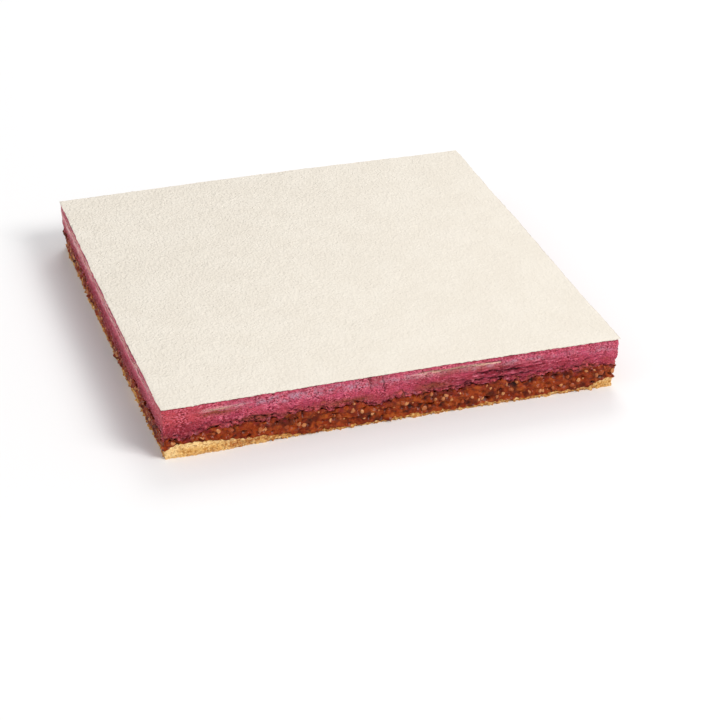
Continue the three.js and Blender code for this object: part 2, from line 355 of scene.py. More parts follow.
class Survey:
    """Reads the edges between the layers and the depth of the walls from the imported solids.

    Attributes:
        wall_band: Points this near to the outline belong to a wall. All lengths are in mm.
        station_gap: Points of a wall that lie further apart than this belong to different edges of it.
        ray_start: How far outside the outline the rays start that feel for the walls.
        ray_pitch: Distance between rays along a side.
        ray_rise: Distance between rays upwards.
        corner_room: How far from the corners the rays stay.
        end_room: How far from the foot and from the top the rays stay.
        blur: Shares of a ray and its neighbours along the side in the depth at that ray.
    """

    wall_band = 6.0
    station_gap = 2.2
    ray_start = 20.0
    ray_pitch = 2.5
    ray_rise = 1.0
    corner_room = 4.0
    end_room = 0.4
    blur = np.array([0.06, 0.24, 0.4, 0.24, 0.06])

    def __init__(self) -> None:
        """Measures the height of the cake."""
        self.outline = Outline()
        self.strip = Strip(self.outline, height=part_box("velvet_coat")[1].z / MM)

    @staticmethod
    def points(node: str) -> Array:
        """Reads the corners of a solid's faces.

        Args:
            node: Name of the solid.

        Returns:
            Rows of x, y and z, in mm.
        """
        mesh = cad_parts[node].data
        places = np.empty(3 * len(mesh.vertices))
        mesh.vertices.foreach_get("co", places)
        return places.reshape(-1, 3) / MM

    def edge(self, node: str, reach: Reach) -> Array:
        """Follows the lowest or the highest points of a solid's wall round the cake.

        Args:
            node: Name of the solid.
            reach: Which points to follow.

        Returns:
            A height for each column of the strip, in mm.
        """
        places = self.points(node)
        inside = self.outline.side / 2 - np.abs(places[:, :2]).max(axis=1)
        wall = places[inside < self.wall_band]
        along = self.outline.along_of(wall)
        order = np.argsort(along)
        starts = np.flatnonzero(np.diff(along[order], prepend=-self.outline.side) > self.station_gap)
        counts = np.diff(starts, append=len(order))
        stops = np.add.reduceat(along[order], starts) / counts
        pick = np.minimum if reach is Reach.LOWEST else np.maximum
        heights = pick.reduceat(wall[order, 2], starts)
        return np.interp(self.strip.along, stops, heights, period=self.outline.whole)

    @cached_property
    def depth(self) -> Array:
        """How far the solids' walls stand in from the outline, on the grid of the strip, in mm.

        The groove in which the edge of the thin sponge lies is bridged.
        """
        trees = []
        for node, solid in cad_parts.items():
            if node != "middle_sponge":
                corners = [v.co / MM for v in solid.data.vertices]
                faces = [p.vertices[:] for p in solid.data.polygons]
                trees.append(BVHTree.FromPolygons(corners, faces))
        side = self.outline.side
        count = round(side / self.ray_pitch)
        on_side = np.linspace(self.corner_room, side - self.corner_room, count)
        heights = np.arange(self.end_room, self.strip.height - self.end_room, self.ray_rise)
        halves = len(self.blur) // 2
        made = []
        for start in np.arange(4) * side:
            spots = self.outline.drawn(start + on_side, -self.ray_start, 0.0, 0.0)
            outs = self.outline.out(start + on_side)
            found = np.stack([self._cast(trees, spot, out, heights) for spot, out in zip(spots, outs)])
            padded = np.pad(found, ((halves, halves), (0, 0)), mode="edge")
            found = sum(w * padded[k : k + count] for k, w in enumerate(self.blur))
            rows = np.stack([np.interp(self.strip.ups, heights, column) for column in found])
            columns = np.arange(round(side / self.strip.pitch)) * self.strip.pitch
            made.append(np.stack([np.interp(columns, on_side, row) for row in rows.T], -1))
        return np.concatenate(made)

    def _cast(self, trees: list[BVHTree], spot: Array, out: Array, heights: Array) -> Array:
        """Feels for the wall at several heights, straight in from a place outside it.

        Args:
            trees: The solids.
            spot: The place, as x and y.
            out: The way out of the cake there.
            heights: Heights to feel at, in mm.

        Returns:
            How far the wall stands in from the outline at each height, in mm.
        """
        way = Vector((-out[0], -out[1], 0.0))
        reached = []
        for z in heights:
            start = Vector((*spot, z))
            hits = [tree.ray_cast(start, way, 2 * self.ray_start)[3] for tree in trees]
            reached.append(min((h for h in hits if h is not None), default=np.nan) - self.ray_start)
        found = np.array(reached)
        known = np.isfinite(found)
        return np.interp(heights, heights[known], found[known])

    def on_wall(self, depth: Array, along: Array, up: Array, inwards: Array) -> Array:
        """Finds places in a wall.

        Args:
            depth: How far the wall stands in, on the grid of the strip.
            along: Distances round the cake.
            up: Heights.
            inwards: How far behind the wall's face each place lies.

        Returns:
            Rows of x, y and z. All lengths are in mm.
        """
        start = np.floor(along / self.outline.side) * self.outline.side
        own, before, after = (
            self.strip.at(depth, here, up) + inwards
            for here in (along, start - self.strip.pitch, start + self.outline.side)
        )
        return np.column_stack([self.outline.drawn(along, own, before, after), up])


# ---- Meshes ----


def band(lower: Array, upper: Array) -> Array:
    """The four-sided faces between two closed rows with as many points each, as rows of point numbers."""
    return np.stack([lower, np.roll(lower, -1), np.roll(upper, -1), upper], -1)


@dataclass
class MeshMaker:
    """Points and faces of a mesh as it is put together, in mm, with each face's place in the texture."""

    points: list[Array] = field(default_factory=list)
    faces: list[tuple[Array, Array]] = field(default_factory=list)
    count: int = 0

    def add_points(self, places: Array) -> Array:
        """Adds points.

        Args:
            places: Rows of x, y and z, in mm.

        Returns:
            The points' numbers.
        """
        self.points.append(places)
        numbers = np.arange(self.count, self.count + len(places))
        self.count += len(places)
        return numbers

    def add_faces(self, corners: Array, texture: Array) -> None:
        """Adds faces, all with as many corners, and the places of those corners in the texture."""
        self.faces.append((corners, texture))

    def bridge(self, lower: Array, upper: Array, corner_uv: tuple[Array, Array]) -> None:
        """Joins two closed rows of points with as many points each.

        Args:
            lower: Numbers of the lower row's points, anticlockwise.
            upper: Numbers of the upper row's points.
            corner_uv: The texture places of the lower and of the upper row, with one more than there are
                points, so that the last face has a right-hand edge of its own.
        """
        low_uv, high_uv = corner_uv
        texture = np.stack([low_uv[:-1], low_uv[1:], high_uv[1:], high_uv[:-1]], 1)
        self.add_faces(band(lower, upper), texture)

    def close(
        self, ring: Array, inner: Array, middle: int, upwards: bool, uv: Callable[[Array], Array]
    ) -> None:
        """Closes a row of points with a coarser inner row and a middle point.

        Args:
            ring: Numbers of the outer points.
            inner: Numbers of the inner points, of which there is one to every few outer ones.
            middle: Number of the middle point.
            upwards: Whether the faces look up.
            uv: Gives the texture places of points by their numbers.
        """
        step = len(ring) // len(inner)
        outer, after = ring, np.roll(ring, -1)
        near = np.repeat(inner, step)
        following = np.roll(inner, -1)
        corner = np.roll(ring, -step)[::step]
        centre = np.full(len(inner), middle)
        faces = np.concatenate([
            np.stack([outer, after, near], -1),
            np.stack([corner, following, inner], -1),
            np.stack([inner, following, centre], -1),
        ])
        if not upwards:
            faces = faces[:, ::-1]
        self.add_faces(faces, uv(faces))

    def all_points(self) -> Array:
        """Every point so far."""
        return np.concatenate(self.points)

    def build(self, name: str, marks: dict[str, Array], sharp_angle: float = 55.0) -> bpy.types.Object:
        """Makes the object.

        Args:
            name: Its name.
            marks: Values for each point by the name of the attribute, single or in threes.
            sharp_angle: Faces that meet at more than this many degrees keep a hard edge.

        Returns:
            The object, in the scene.
        """
        mesh = bpy.data.meshes.new(name)
        mesh.vertices.add(self.count)
        mesh.vertices.foreach_set("co", (self.all_points() * MM).ravel())
        corners = np.concatenate([f.ravel() for f, _ in self.faces])
        sizes = np.concatenate([np.full(len(f), f.shape[1]) for f, _ in self.faces])
        mesh.loops.add(len(corners))
        mesh.loops.foreach_set("vertex_index", corners.astype(np.int32))
        mesh.polygons.add(len(sizes))
        starts = np.concatenate([[0], np.cumsum(sizes)[:-1]])
        mesh.polygons.foreach_set("loop_start", starts.astype(np.int32))
        mesh.update(calc_edges=True)
        layer = mesh.uv_layers.new(name=BAKE_UV)
        texture = np.concatenate([t.reshape(-1, 2) for _, t in self.faces])
        layer.data.foreach_set("uv", texture.astype(np.float32).ravel())
        for mark, values in marks.items():
            kind, part = ("FLOAT_VECTOR", "vector") if values.ndim == 2 else ("FLOAT", "value")
            target = mesh.attributes.new(mark, kind, "POINT")
            target.data.foreach_set(part, values.astype(np.float32).ravel())
        mesh.polygons.foreach_set("use_smooth", np.ones(len(sizes), bool))
        mesh.set_sharp_from_angle(angle=math.radians(sharp_angle))
        mesh.validate()
        made = bpy.data.objects.new(name, mesh)
        bpy.context.scene.collection.objects.link(made)
        return made


@dataclass(frozen=True)
class Row:
    """One closed row of points in a layer's wall: a height and a depth for each column of the strip."""

    height: Array
    depth: Array


@dataclass(frozen=True)
class Fold:
    """How an unrolled wall is folded into the square texture: as stacked lengths above a strip for the caps.

    Attributes:
        caps_share: Height of the strip for the caps. All sizes are shares of the texture's side.
        gap: Room between two lengths, as a share of a length's height.
        margin: Room that is left free at the border of the texture.
        cap_size: Size of a cap.
        top_start: Where the cap of the top begins.
        underside_start: Where the cap of the underside begins.
    """

    columns: int
    lengths: int
    caps_share: float = 0.16
    gap: float = 0.08
    margin: float = 0.01
    cap_size: float = 0.13
    top_start: float = 0.02
    underside_start: float = 0.2

    def quads(self, low: float, high: float) -> Array:
        """Gives the texture places of the faces between two rows of points.

        Args:
            low: Share of the wall's height at which the lower row is laid.
            high: Share of the wall's height at which the upper row is laid.

        Returns:
            Four texture places for each column.
        """
        each = self.columns // self.lengths
        index = np.arange(self.columns)
        length = index // each
        left, right = index % each, index % each + 1
        corners = [(left, low), (right, low), (right, high), (left, high)]
        return np.stack([self._places(length, column / each, share) for column, share in corners], 1)

    def _places(self, length: Array, across: Array, up: float) -> Array:
        """Gives the texture places of points in the lengths of the wall.

        Args:
            length: The number of the length that each point lies in.
            across: Share of the length's width at each point.
            up: Share of the length's height.

        Returns:
            Rows of the two places.
        """
        u = self.margin + (1 - 2 * self.margin) * across
        v = (length + self.gap / 2 + (1 - self.gap) * up) / self.lengths
        return np.stack([u, self.caps_share + (1 - self.margin - self.caps_share) * v], -1)

    def cap(self, points: Array, side: float, upwards: bool) -> Callable[[Array], Array]:
        """Lays a cap, as seen from above, in its own corner of the strip.

        Args:
            points: All points of the mesh, in mm.
            side: Length of the cake's side, in mm.
            upwards: Whether it is the cap of the top.

        Returns:
            A function that gives the texture places of faces by the numbers of their points.
        """
        corner = np.array([self.top_start if upwards else self.underside_start, self.margin])
        scale = self.cap_size / side
        return lambda faces: corner + scale * (points[faces][..., :2] + side / 2)


class Layers:
    """Builds the closed mesh of a layer from rows of points on the cut sides.

    Attributes:
        rim: How far inside the outline the layer's caps turn flat, in mm.
        columns_an_inner_point: How many columns of the wall share a point there.
        lengths: How many lengths the wall is cut into in the texture.
        corner_depth: How far the corners are rounded off, in mm.
        corner_reach: How far from a corner its rounding begins, in mm.
    """

    rim = 14.0
    columns_an_inner_point = 8
    lengths = 8
    corner_depth = 0.25
    corner_reach = 1.2

    def __init__(self, survey: Survey) -> None:
        """Works out how the corners are rounded.

        Args:
            survey: The survey of the solids.
        """
        self.survey = survey
        self.strip = survey.strip
        on_side = self.strip.along % survey.outline.side
        to_corner = np.minimum(on_side, survey.outline.side - on_side)
        self.rounding = self.corner_depth * np.maximum(0.0, 1.0 - to_corner / self.corner_reach) ** 2

    def ring(self, row: Row) -> Array:
        """Lays the points of a row round the cake.

        Args:
            row: The row.

        Returns:
            Rows of x, y and z, in mm.
        """
        depth = row.depth + self.rounding
        sides = depth.reshape(4, -1)
        before = np.repeat(np.roll(sides[:, -1], 1), sides.shape[1])
        after = np.repeat(np.roll(sides[:, 0], -1), sides.shape[1])
        flat = self.survey.outline.drawn(self.strip.along, depth, before, after)
        return np.column_stack([flat, row.height])

    def build(
        self, name: str, rows: list[Row], levels: tuple[float, float], masks: dict[str, Array]
    ) -> bpy.types.Object:
        """Makes a layer.

        Args:
            name: Name of the piece.
            rows: Its wall's rows, from the lowest up.
            levels: Heights of its underside and of its top inside the cake, in mm.
            masks: Arrays on the strip, each of which becomes an attribute of that name.

        Returns:
            The piece.
        """
        strip, maker = self.strip, MeshMaker()
        fold = Fold(len(strip.along), self.lengths)
        places = []
        rings = []
        for row in rows:
            rings.append(maker.add_points(self.ring(row)))
            places.append(np.column_stack([strip.along, row.height, row.depth]))
        steps = len(rows) - 1
        for k, (low, high) in enumerate(zip(rings, rings[1:])):
            maker.add_faces(band(low, high), fold.quads(k / steps, (k + 1) / steps))
        inner_columns = slice(None, None, self.columns_an_inner_point)
        for ring, level, upwards in ((rings[0], levels[0], False), (rings[-1], levels[1], True)):
            along = strip.along[inner_columns]
            flat = self.survey.outline.drawn(along, self.rim, self.rim, self.rim)
            same = np.ones(len(along))
            inner = maker.add_points(np.column_stack([flat, level * same]))
            middle = maker.add_points(np.array([[0.0, 0.0, level]]))
            places.append(np.column_stack([along, level * same, self.rim * same]))
            places.append(np.array([[0.0, level, self.rim]]))
            uv = fold.cap(maker.all_points(), self.survey.outline.side, upwards)
            maker.close(ring, inner, middle[0], upwards, uv)
        place = np.concatenate(places)
        marks = {mask: strip.at(values, place[:, 0], place[:, 1]) for mask, values in masks.items()}
        return maker.build(name, {PLACE: place, **marks})


# ---- Shader nodes ----


class Graph:
    """Adds nodes to a node tree and wires them together.

    Attributes:
        share, below, above: Numbers of the inputs of a mix node that mixes colours.
        mixed: Number of its output.
    """

    share, below, above, mixed = 0, 6, 7, 2

    def __init__(self, tree: bpy.types.NodeTree) -> None:
        """Keeps the tree."""
        self.tree = tree

    def add(
        self, kind: str, settings: dict[str, Any] | None = None, inputs: dict[Any, Any] | None = None
    ) -> bpy.types.Node:
        """Adds a node.

        Args:
            kind: The node's type name.
            settings: Values for its properties.
            inputs: Values or output sockets for its inputs, by name or number.

        Returns:
            The node.
        """
        node = self.tree.nodes.new(kind)
        for name, value in (settings or {}).items():
            setattr(node, name, value)
        for name, value in (inputs or {}).items():
            self.feed(node.inputs[name], value)
        return node

    def feed(self, socket: bpy.types.NodeSocket, value: Any) -> None:
        """Sets an input to a value, or links it to an output.

        Args:
            socket: The input.
            value: A value or an output. A colour may be given without its fourth number.
        """
        if isinstance(value, bpy.types.NodeSocket):
            self.tree.links.new(value, socket)
        elif isinstance(value, tuple) and socket.type == "RGBA" and len(value) == 3:
            socket.default_value = (*value, 1.0)
        else:
            socket.default_value = value

    def mix(self, below: Any, above: Any, share: Any) -> bpy.types.NodeSocket:
        """Mixes two colours by a share."""
        inputs = {self.share: share, self.below: below, self.above: above}
        return self.add("ShaderNodeMix", {"data_type": "RGBA"}, inputs).outputs[self.mixed]

    def math(self, operation: str, a: Any, b: Any = 0.0) -> bpy.types.NodeSocket:
        """Works out one number from one or two others."""
        return self.add("ShaderNodeMath", {"operation": operation}, {0: a, 1: b}).outputs[0]

    def times(self, a: Any, b: Any) -> bpy.types.NodeSocket:
        """Multiplies two numbers."""
        return self.math("MULTIPLY", a, b)

    def remap(
        self, value: Any, low: float, high: float, to_low: float = 0.0, to_high: float = 1.0
    ) -> bpy.types.NodeSocket:
        """Maps a range of numbers softly to another, and holds it at the ends."""
        inputs = {"Value": value, "From Min": low, "From Max": high, "To Min": to_low, "To Max": to_high}
        return self.add("ShaderNodeMapRange", {"interpolation_type": "SMOOTHSTEP"}, inputs).outputs["Result"]

    def attribute(self, name: str, output: str = "Fac") -> bpy.types.NodeSocket:
        """Reads one of a mesh's attributes."""
        return self.add("ShaderNodeAttribute", {"attribute_name": name}).outputs[output]

    def scaled(self, vector: Any, scale: tuple[float, float, float]) -> bpy.types.NodeSocket:
        """Scales a place, so that noise read there is drawn out one way."""
        return self.add("ShaderNodeMapping", inputs={"Vector": vector, "Scale": scale}).outputs[0]

    def noise(self, vector: Any, scale: Any, detail: float = 3.0) -> bpy.types.NodeSocket:
        """Reads cloudy noise at a place."""
        inputs = {"Vector": vector, "Scale": scale, "Detail": detail}
        return self.add("ShaderNodeTexNoise", inputs=inputs).outputs[0]


class EffectGroup:
    """A node group for an effect that several finishes share, built once and placed with other values.

    Attributes:
        name: Name of the group.
        sockets_in: Name, type and first value of each input.
        sockets_out: Name and type of each output.
    """

    name = ""
    sockets_in: tuple[tuple[str, str, Any], ...] = ()
    sockets_out: tuple[tuple[str, str], ...] = ()

    def tree(self) -> bpy.types.NodeTree:
        """Builds the group's node tree on first use.

        Returns:
            The node tree.
        """
        if self.name in bpy.data.node_groups:
            return bpy.data.node_groups[self.name]
        tree = bpy.data.node_groups.new(self.name, "ShaderNodeTree")
        for name, kind, value in self.sockets_in:
            socket = tree.interface.new_socket(name=name, in_out="INPUT", socket_type=kind)
            if value is not None:
                socket.default_value = value
        for name, kind in self.sockets_out:
            tree.interface.new_socket(name=name, in_out="OUTPUT", socket_type=kind)
        graph = Graph(tree)
        given = graph.add("NodeGroupInput")
        made = self.wire(graph, given.outputs)
        graph.add("NodeGroupOutput", inputs=made)
        return tree

    def wire(self, graph: Graph, given: bpy.types.NodeOutputs) -> dict[str, bpy.types.NodeSocket]:
        """Builds the inside of the group.

        Args:
            graph: Graph of the group's tree.
            given: The group's inputs.

        Returns:
            A socket for each of the group's outputs, by name.
        """
        raise NotImplementedError

    def place(self, graph: Graph, inputs: dict[str, Any]) -> bpy.types.NodeOutputs:
        """Places the group in a material.

        Args:
            graph: Graph of the material.
            inputs: Values or outputs for the group's inputs, by name.

        Returns:
            The group's outputs.
        """
        node = graph.add("ShaderNodeGroup", {"node_tree": self.tree()})
        for name, value in inputs.items():
            graph.feed(node.inputs[name], value)
        return node.outputs


class MottleGroup(EffectGroup):
    """Cloudy patches of a second colour, with finer specks of it inside and between them."""

    name = "mottle"
    sockets_in = (
        ("Place", "NodeSocketVector", None),
        ("Colour", "NodeSocketColor", (1.0, 1.0, 1.0, 1.0)),
        ("Patches", "NodeSocketColor", (0.5, 0.5, 0.5, 1.0)),
        ("Scale", "NodeSocketFloat", 0.3),
        ("Amount", "NodeSocketFloat", 0.5),
    )
    sockets_out = (("Colour", "NodeSocketColor"), ("Mask", "NodeSocketFloat"))

    def wire(self, graph: Graph, given: bpy.types.NodeOutputs) -> dict[str, bpy.types.NodeSocket]:
        """Mixes two sizes of noise and uses them as the share of the second colour.

        Args:
            graph: Graph of the group's tree.
            given: The group's inputs.

        Returns:
            A socket for each of the group's outputs, by name.
        """
        fine_scale = graph.times(given["Scale"], 5.3)
        broad = graph.noise(given["Place"], given["Scale"], 2.0)
        fine = graph.noise(given["Place"], fine_scale, 3.0)
        both = graph.math("ADD", graph.times(broad, 0.6), graph.times(fine, 0.4))
        mask = graph.remap(both, 0.4, 0.62)
        share = graph.times(mask, given["Amount"])
        return {"Colour": graph.mix(given["Colour"], given["Patches"], share), "Mask": mask}


class GrainGroup(EffectGroup):
    """Fine grain and small pits as a bumped normal, with a mask of the pits."""

    name = "grain"
    sockets_in = (
        ("Place", "NodeSocketVector", None),
        ("Scale", "NodeSocketFloat", 1.2),
        ("Detail", "NodeSocketFloat", 4.0),
        ("Pit Scale", "NodeSocketFloat", 0.5),
        ("Pit Depth", "NodeSocketFloat", 0.5),
        ("Relief", "NodeSocketFloat", 0.0),
        ("Height", "NodeSocketFloat", 0.1),
    )
    sockets_out = (("Normal", "NodeSocketVector"), ("Pits", "NodeSocketFloat"))

    def wire(self, graph: Graph, given: bpy.types.NodeOutputs) -> dict[str, bpy.types.NodeSocket]:
        """Lays noise and the cores of cells over each other as heights.

        Args:
            graph: Graph of the group's tree.
            given: The group's inputs.

        Returns:
            A socket for each of the group's outputs, by name.
        """
        grain = graph.noise(given["Place"], given["Scale"], given["Detail"])
        cell_inputs = {"Vector": given["Place"], "Scale": given["Pit Scale"]}
        cells = graph.add("ShaderNodeTexVoronoi", inputs=cell_inputs)
        pits = graph.remap(cells.outputs["Distance"], 0.12, 0.3, 1.0, 0.0)
        height = graph.math("SUBTRACT", grain, graph.times(pits, given["Pit Depth"]))
        height = graph.math("ADD", height, given["Relief"])
        metres = graph.times(given["Height"], MM)
        raised = graph.times(height, metres)
        bump = graph.add("ShaderNodeBump", inputs={"Strength": 1.0, "Distance": 1.0, "Height": raised})
        return {"Normal": bump.outputs[0], "Pits": pits}


class CutGroup(EffectGroup):
    """The fine texture of a cut face, drawn out along the side where the knife dragged it."""

    name = "knife_cut"
    sockets_in = (
        ("Place", "NodeSocketVector", None),
        ("Drag", "NodeSocketFloat", 0.0),
        ("Size", "NodeSocketFloat", 1.0),
    )
    sockets_out = (("Grains", "NodeSocketFloat"), ("Gaps", "NodeSocketFloat"), ("Relief", "NodeSocketFloat"))

    def wire(self, graph: Graph, given: bpy.types.NodeOutputs) -> dict[str, bpy.types.NodeSocket]:
        """Blends round noise into drawn-out noise, and splits it into its high and its low places.

        Args:
            graph: Graph of the group's tree.
            given: The group's inputs.

        Returns:
            A socket for each of the group's outputs, by name.
        """
        plain = graph.noise(graph.scaled(given["Place"], (0.8, 1.15, 0.5)), given["Size"], 3.0)
        drawn = graph.noise(graph.scaled(given["Place"], (0.3, 1.6, 0.4)), given["Size"], 3.0)
        change = graph.times(graph.math("SUBTRACT", drawn, plain), given["Drag"])
        both = graph.math("ADD", plain, change)
        rough = graph.remap(graph.noise(given["Place"], 0.13, 2.0), 0.4, 0.6, 0.35, 1.25)
        # Gaps marks the low places of the relief: where a finish bumps its face with that relief, darkening
        # there is painted shade.
        return {
            "Grains": graph.times(graph.remap(both, 0.5, 0.62), rough),
            "Gaps": graph.times(graph.remap(both, 0.35, 0.47, 1.0, 0.0), rough),
            "Relief": both,
        }


MOTTLE = MottleGroup()
GRAIN = GrainGroup()
CUT = CutGroup()


class Finish:
    """A finish of the cake: builds one material, and dresses pieces with it."""

    name = "finish"
    slot = ""

    @cached_property
    def material(self) -> bpy.types.Material:
        """The material, built on first use."""
        material = bpy.data.materials.new(self.name)
        material.use_nodes = True
        material.node_tree.nodes.clear()
        graph = Graph(material.node_tree)
        shader = graph.add("ShaderNodeBsdfPrincipled", inputs=self.wire(graph))
        graph.add("ShaderNodeOutputMaterial", inputs={"Surface": shader.outputs[0]})
        return material

    def wire(self, graph: Graph) -> dict[str, Any]:
        """Builds the part of the material that feeds the shader.

        Args:
            graph: Graph of the material.

        Returns:
            Values and outputs for the shader's inputs, by name.
        """
        raise NotImplementedError

    def dress(self, piece: bpy.types.Object) -> None:
        """Puts the material on a piece.

        Args:
            piece: The piece.
        """
        piece.data.materials.clear()
        piece.data.materials.append(self.material)


@dataclass(frozen=True, kw_only=True)
class MousseFinish(Finish):
    """Berry mousse cut with a knife: satin, with paler drag marks, darker low down partly as painted shade,
    painted shade in its hollows, painted sheen and painted highlights.
    """

    name: str
    slot: str
    body: Colour = (0.57, 0.067, 0.142)
    flush: Colour = (0.57, 0.063, 0.078)
    # deep is the mousse's own darker tone in its clouds, and painted shade low down.
    deep: Colour = (0.25, 0.012, 0.026)
    grains: Colour = (0.82, 0.20, 0.28)
    # Colour of the painted shade in the low places of the cut's relief.
    gaps: Colour = (0.17, 0.005, 0.014)
    # Painted shade in the pits, hollows and cracks, and under the coat.
    hollow_shade: Colour = (0.060, 0.002, 0.005)
    # The greyish film the knife left, its pale colour painted sheen.
    bloom_sheen: Colour = (0.56, 0.27, 0.36)
    # Colour of the painted highlights on the torn lumps.
    torn: Colour = (0.66, 0.105, 0.120)
    # Sponge smeared over the mousse, paler in part as painted sheen.
    smear_and_sheen: Colour = (0.95, 0.56, 0.54)
    # Crunch smeared over the mousse, and painted brownish shadow under two sponge streaks.
    stain: Colour = (0.27, 0.060, 0.022)
    # Heights over which the darkening low down fades out: partly the mousse's own colour, partly painted
    # shade.
    low_shade_heights: tuple[float, float] = (14.0, 26.0)

    def wire(self, graph: Graph) -> dict[str, Any]:
        """Mixes the body colour, the texture of the cut, the marks and the grain.

        Args:
            graph: Graph of the material.

        Returns:
            Values and outputs for the shader's inputs, by name.
        """
        place = graph.attribute(PLACE, "Vector")
        height = graph.add("ShaderNodeSeparateXYZ", inputs={0: place}).outputs[1]
        cut = CUT.place(graph, {"Place": place, "Drag": graph.attribute("dragged"), "Size": 1.0})
        mottled = MOTTLE.place(graph, {
            "Place": place, "Colour": self.body, "Patches": self.flush, "Scale": 0.16, "Amount": 0.5,
        })
        colour = graph.mix(mottled["Colour"], self.flush, graph.attribute("flush"))
        # Darker clouds of the mousse's own tone.
        cloudy = graph.noise(graph.scaled(place, (0.2, 0.36, 0.3)), 1.0, 3.0)
        colour = graph.mix(colour, self.deep, graph.remap(cloudy, 0.48, 0.66, 0.0, 0.55))
        # Darker low down and in patches that reach up: partly the mousse's own colour, partly painted shade.
        low = graph.remap(height, *self.low_shade_heights, 1.0, 0.0)
        colour = graph.mix(colour, self.deep, graph.math("MAXIMUM", low, graph.attribute("low_shade")))
        bright = graph.remap(height, 15, 28, 0.5, 0.75)
        colour = graph.mix(colour, self.grains, graph.times(cut["Grains"], bright))
        # Painted highlights on the torn lumps.
        colour = graph.mix(colour, self.torn, graph.attribute("lumps"))
        # The knife's greyish film, its pale colour painted sheen.
        streaks = graph.noise(graph.scaled(place, (0.6, 0.45, 0.3)), 1.0, 4.0)
        bloom_sheen = graph.times(graph.attribute("bloom_sheen"), graph.remap(streaks, 0.36, 0.56, 0.25, 1.0))
        colour = graph.mix(colour, self.bloom_sheen, bloom_sheen)
        colour = graph.mix(colour, self.stain, graph.attribute("stain"))
        # Sponge smeared over the mousse, paler in part as painted sheen.
        lines = graph.noise(graph.scaled(place, (0.1, 1.1, 0.3)), 1.0, 4.0)
        smear_and_sheen = graph.times(graph.attribute("smear_and_sheen"), graph.remap(lines, 0.28, 0.6, 0.35, 1.0))
        colour = graph.mix(colour, self.smear_and_sheen, smear_and_sheen)
        # Painted shade in the low places of the cut's relief.
        colour = graph.mix(colour, self.gaps, graph.times(cut["Gaps"], 0.85))
        grain = GRAIN.place(graph, {
            "Place": place, "Scale": 2.0, "Pit Scale": 0.6, "Pit Depth": 0.8,
            "Relief": graph.times(cut["Relief"], 2.4), "Height": 0.55,
        })
        # Painted shade in the pits of the grain, in the carved hollows and cracks, and a painted shadow under
        # the coat.
        pit_shade = graph.times(grain["Pits"], 0.4)
        colour = graph.mix(colour, self.hollow_shade, graph.math("MAXIMUM", graph.attribute("hollow_shade"), pit_shade))
        polished = graph.math("MAXIMUM", bloom_sheen, smear_and_sheen)
        return {
            "Base Color": colour,
            "Roughness": graph.remap(polished, 0.1, 0.8, 0.55, 0.32),
            "Normal": grain["Normal"],
            "Specular IOR Level": 0.22,
            "Subsurface Weight": 0.08,
            "Subsurface Radius": (1.0, 0.2, 0.2),
            "Subsurface Scale": 0.8 * MM,
        }


@dataclass(frozen=True, kw_only=True)
class SpongeFinish(Finish):
    """Sponge: matte and crumbly, golden with browned spots, paler where it is torn, with the browned colour
    also painted as shade in its pits.
    """

    name: str
    slot: str
    body: Colour
    patches: Colour
    toast: Colour
    torn: Colour

    def wire(self, graph: Graph) -> dict[str, Any]:
        """Mixes the crumb colours and the grain.

        Args:
            graph: Graph of the material.

        Returns:
            Values and outputs for the shader's inputs, by name.
        """
        place = graph.attribute(PLACE, "Vector")
        mottled = MOTTLE.place(graph, {
            "Place": place, "Colour": self.body, "Patches": self.patches, "Scale": 0.15, "Amount": 1.0,
        })
        spots = graph.noise(place, 0.55, 4.0)
        toast = graph.times(graph.attribute("toast"), graph.remap(spots, 0.4, 0.6, 0.3, 1.0))
        colour = graph.mix(mottled["Colour"], self.torn, graph.attribute("torn"))
        colour = graph.mix(colour, self.toast, toast)
        cut = CUT.place(graph, {"Place": place, "Drag": 0.0, "Size": 0.8})
        colour = graph.mix(colour, self.torn, graph.times(cut["Grains"], 0.5))
        colour = graph.mix(colour, self.toast, graph.times(cut["Gaps"], 0.5))
        grain = GRAIN.place(graph, {
            "Place": place, "Scale": 1.5, "Pit Scale": 0.8, "Pit Depth": 1.4, "Height": 0.55,
        })
        # Painted shade in the pits of the grain.
        colour = graph.mix(colour, self.toast, graph.times(grain["Pits"], 0.2))
        return {
            "Base Color": colour,
            "Roughness": graph.remap(spots, 0.3, 0.7, 0.72, 0.92),
            "Normal": grain["Normal"],
            "Specular IOR Level": 0.2,
        }


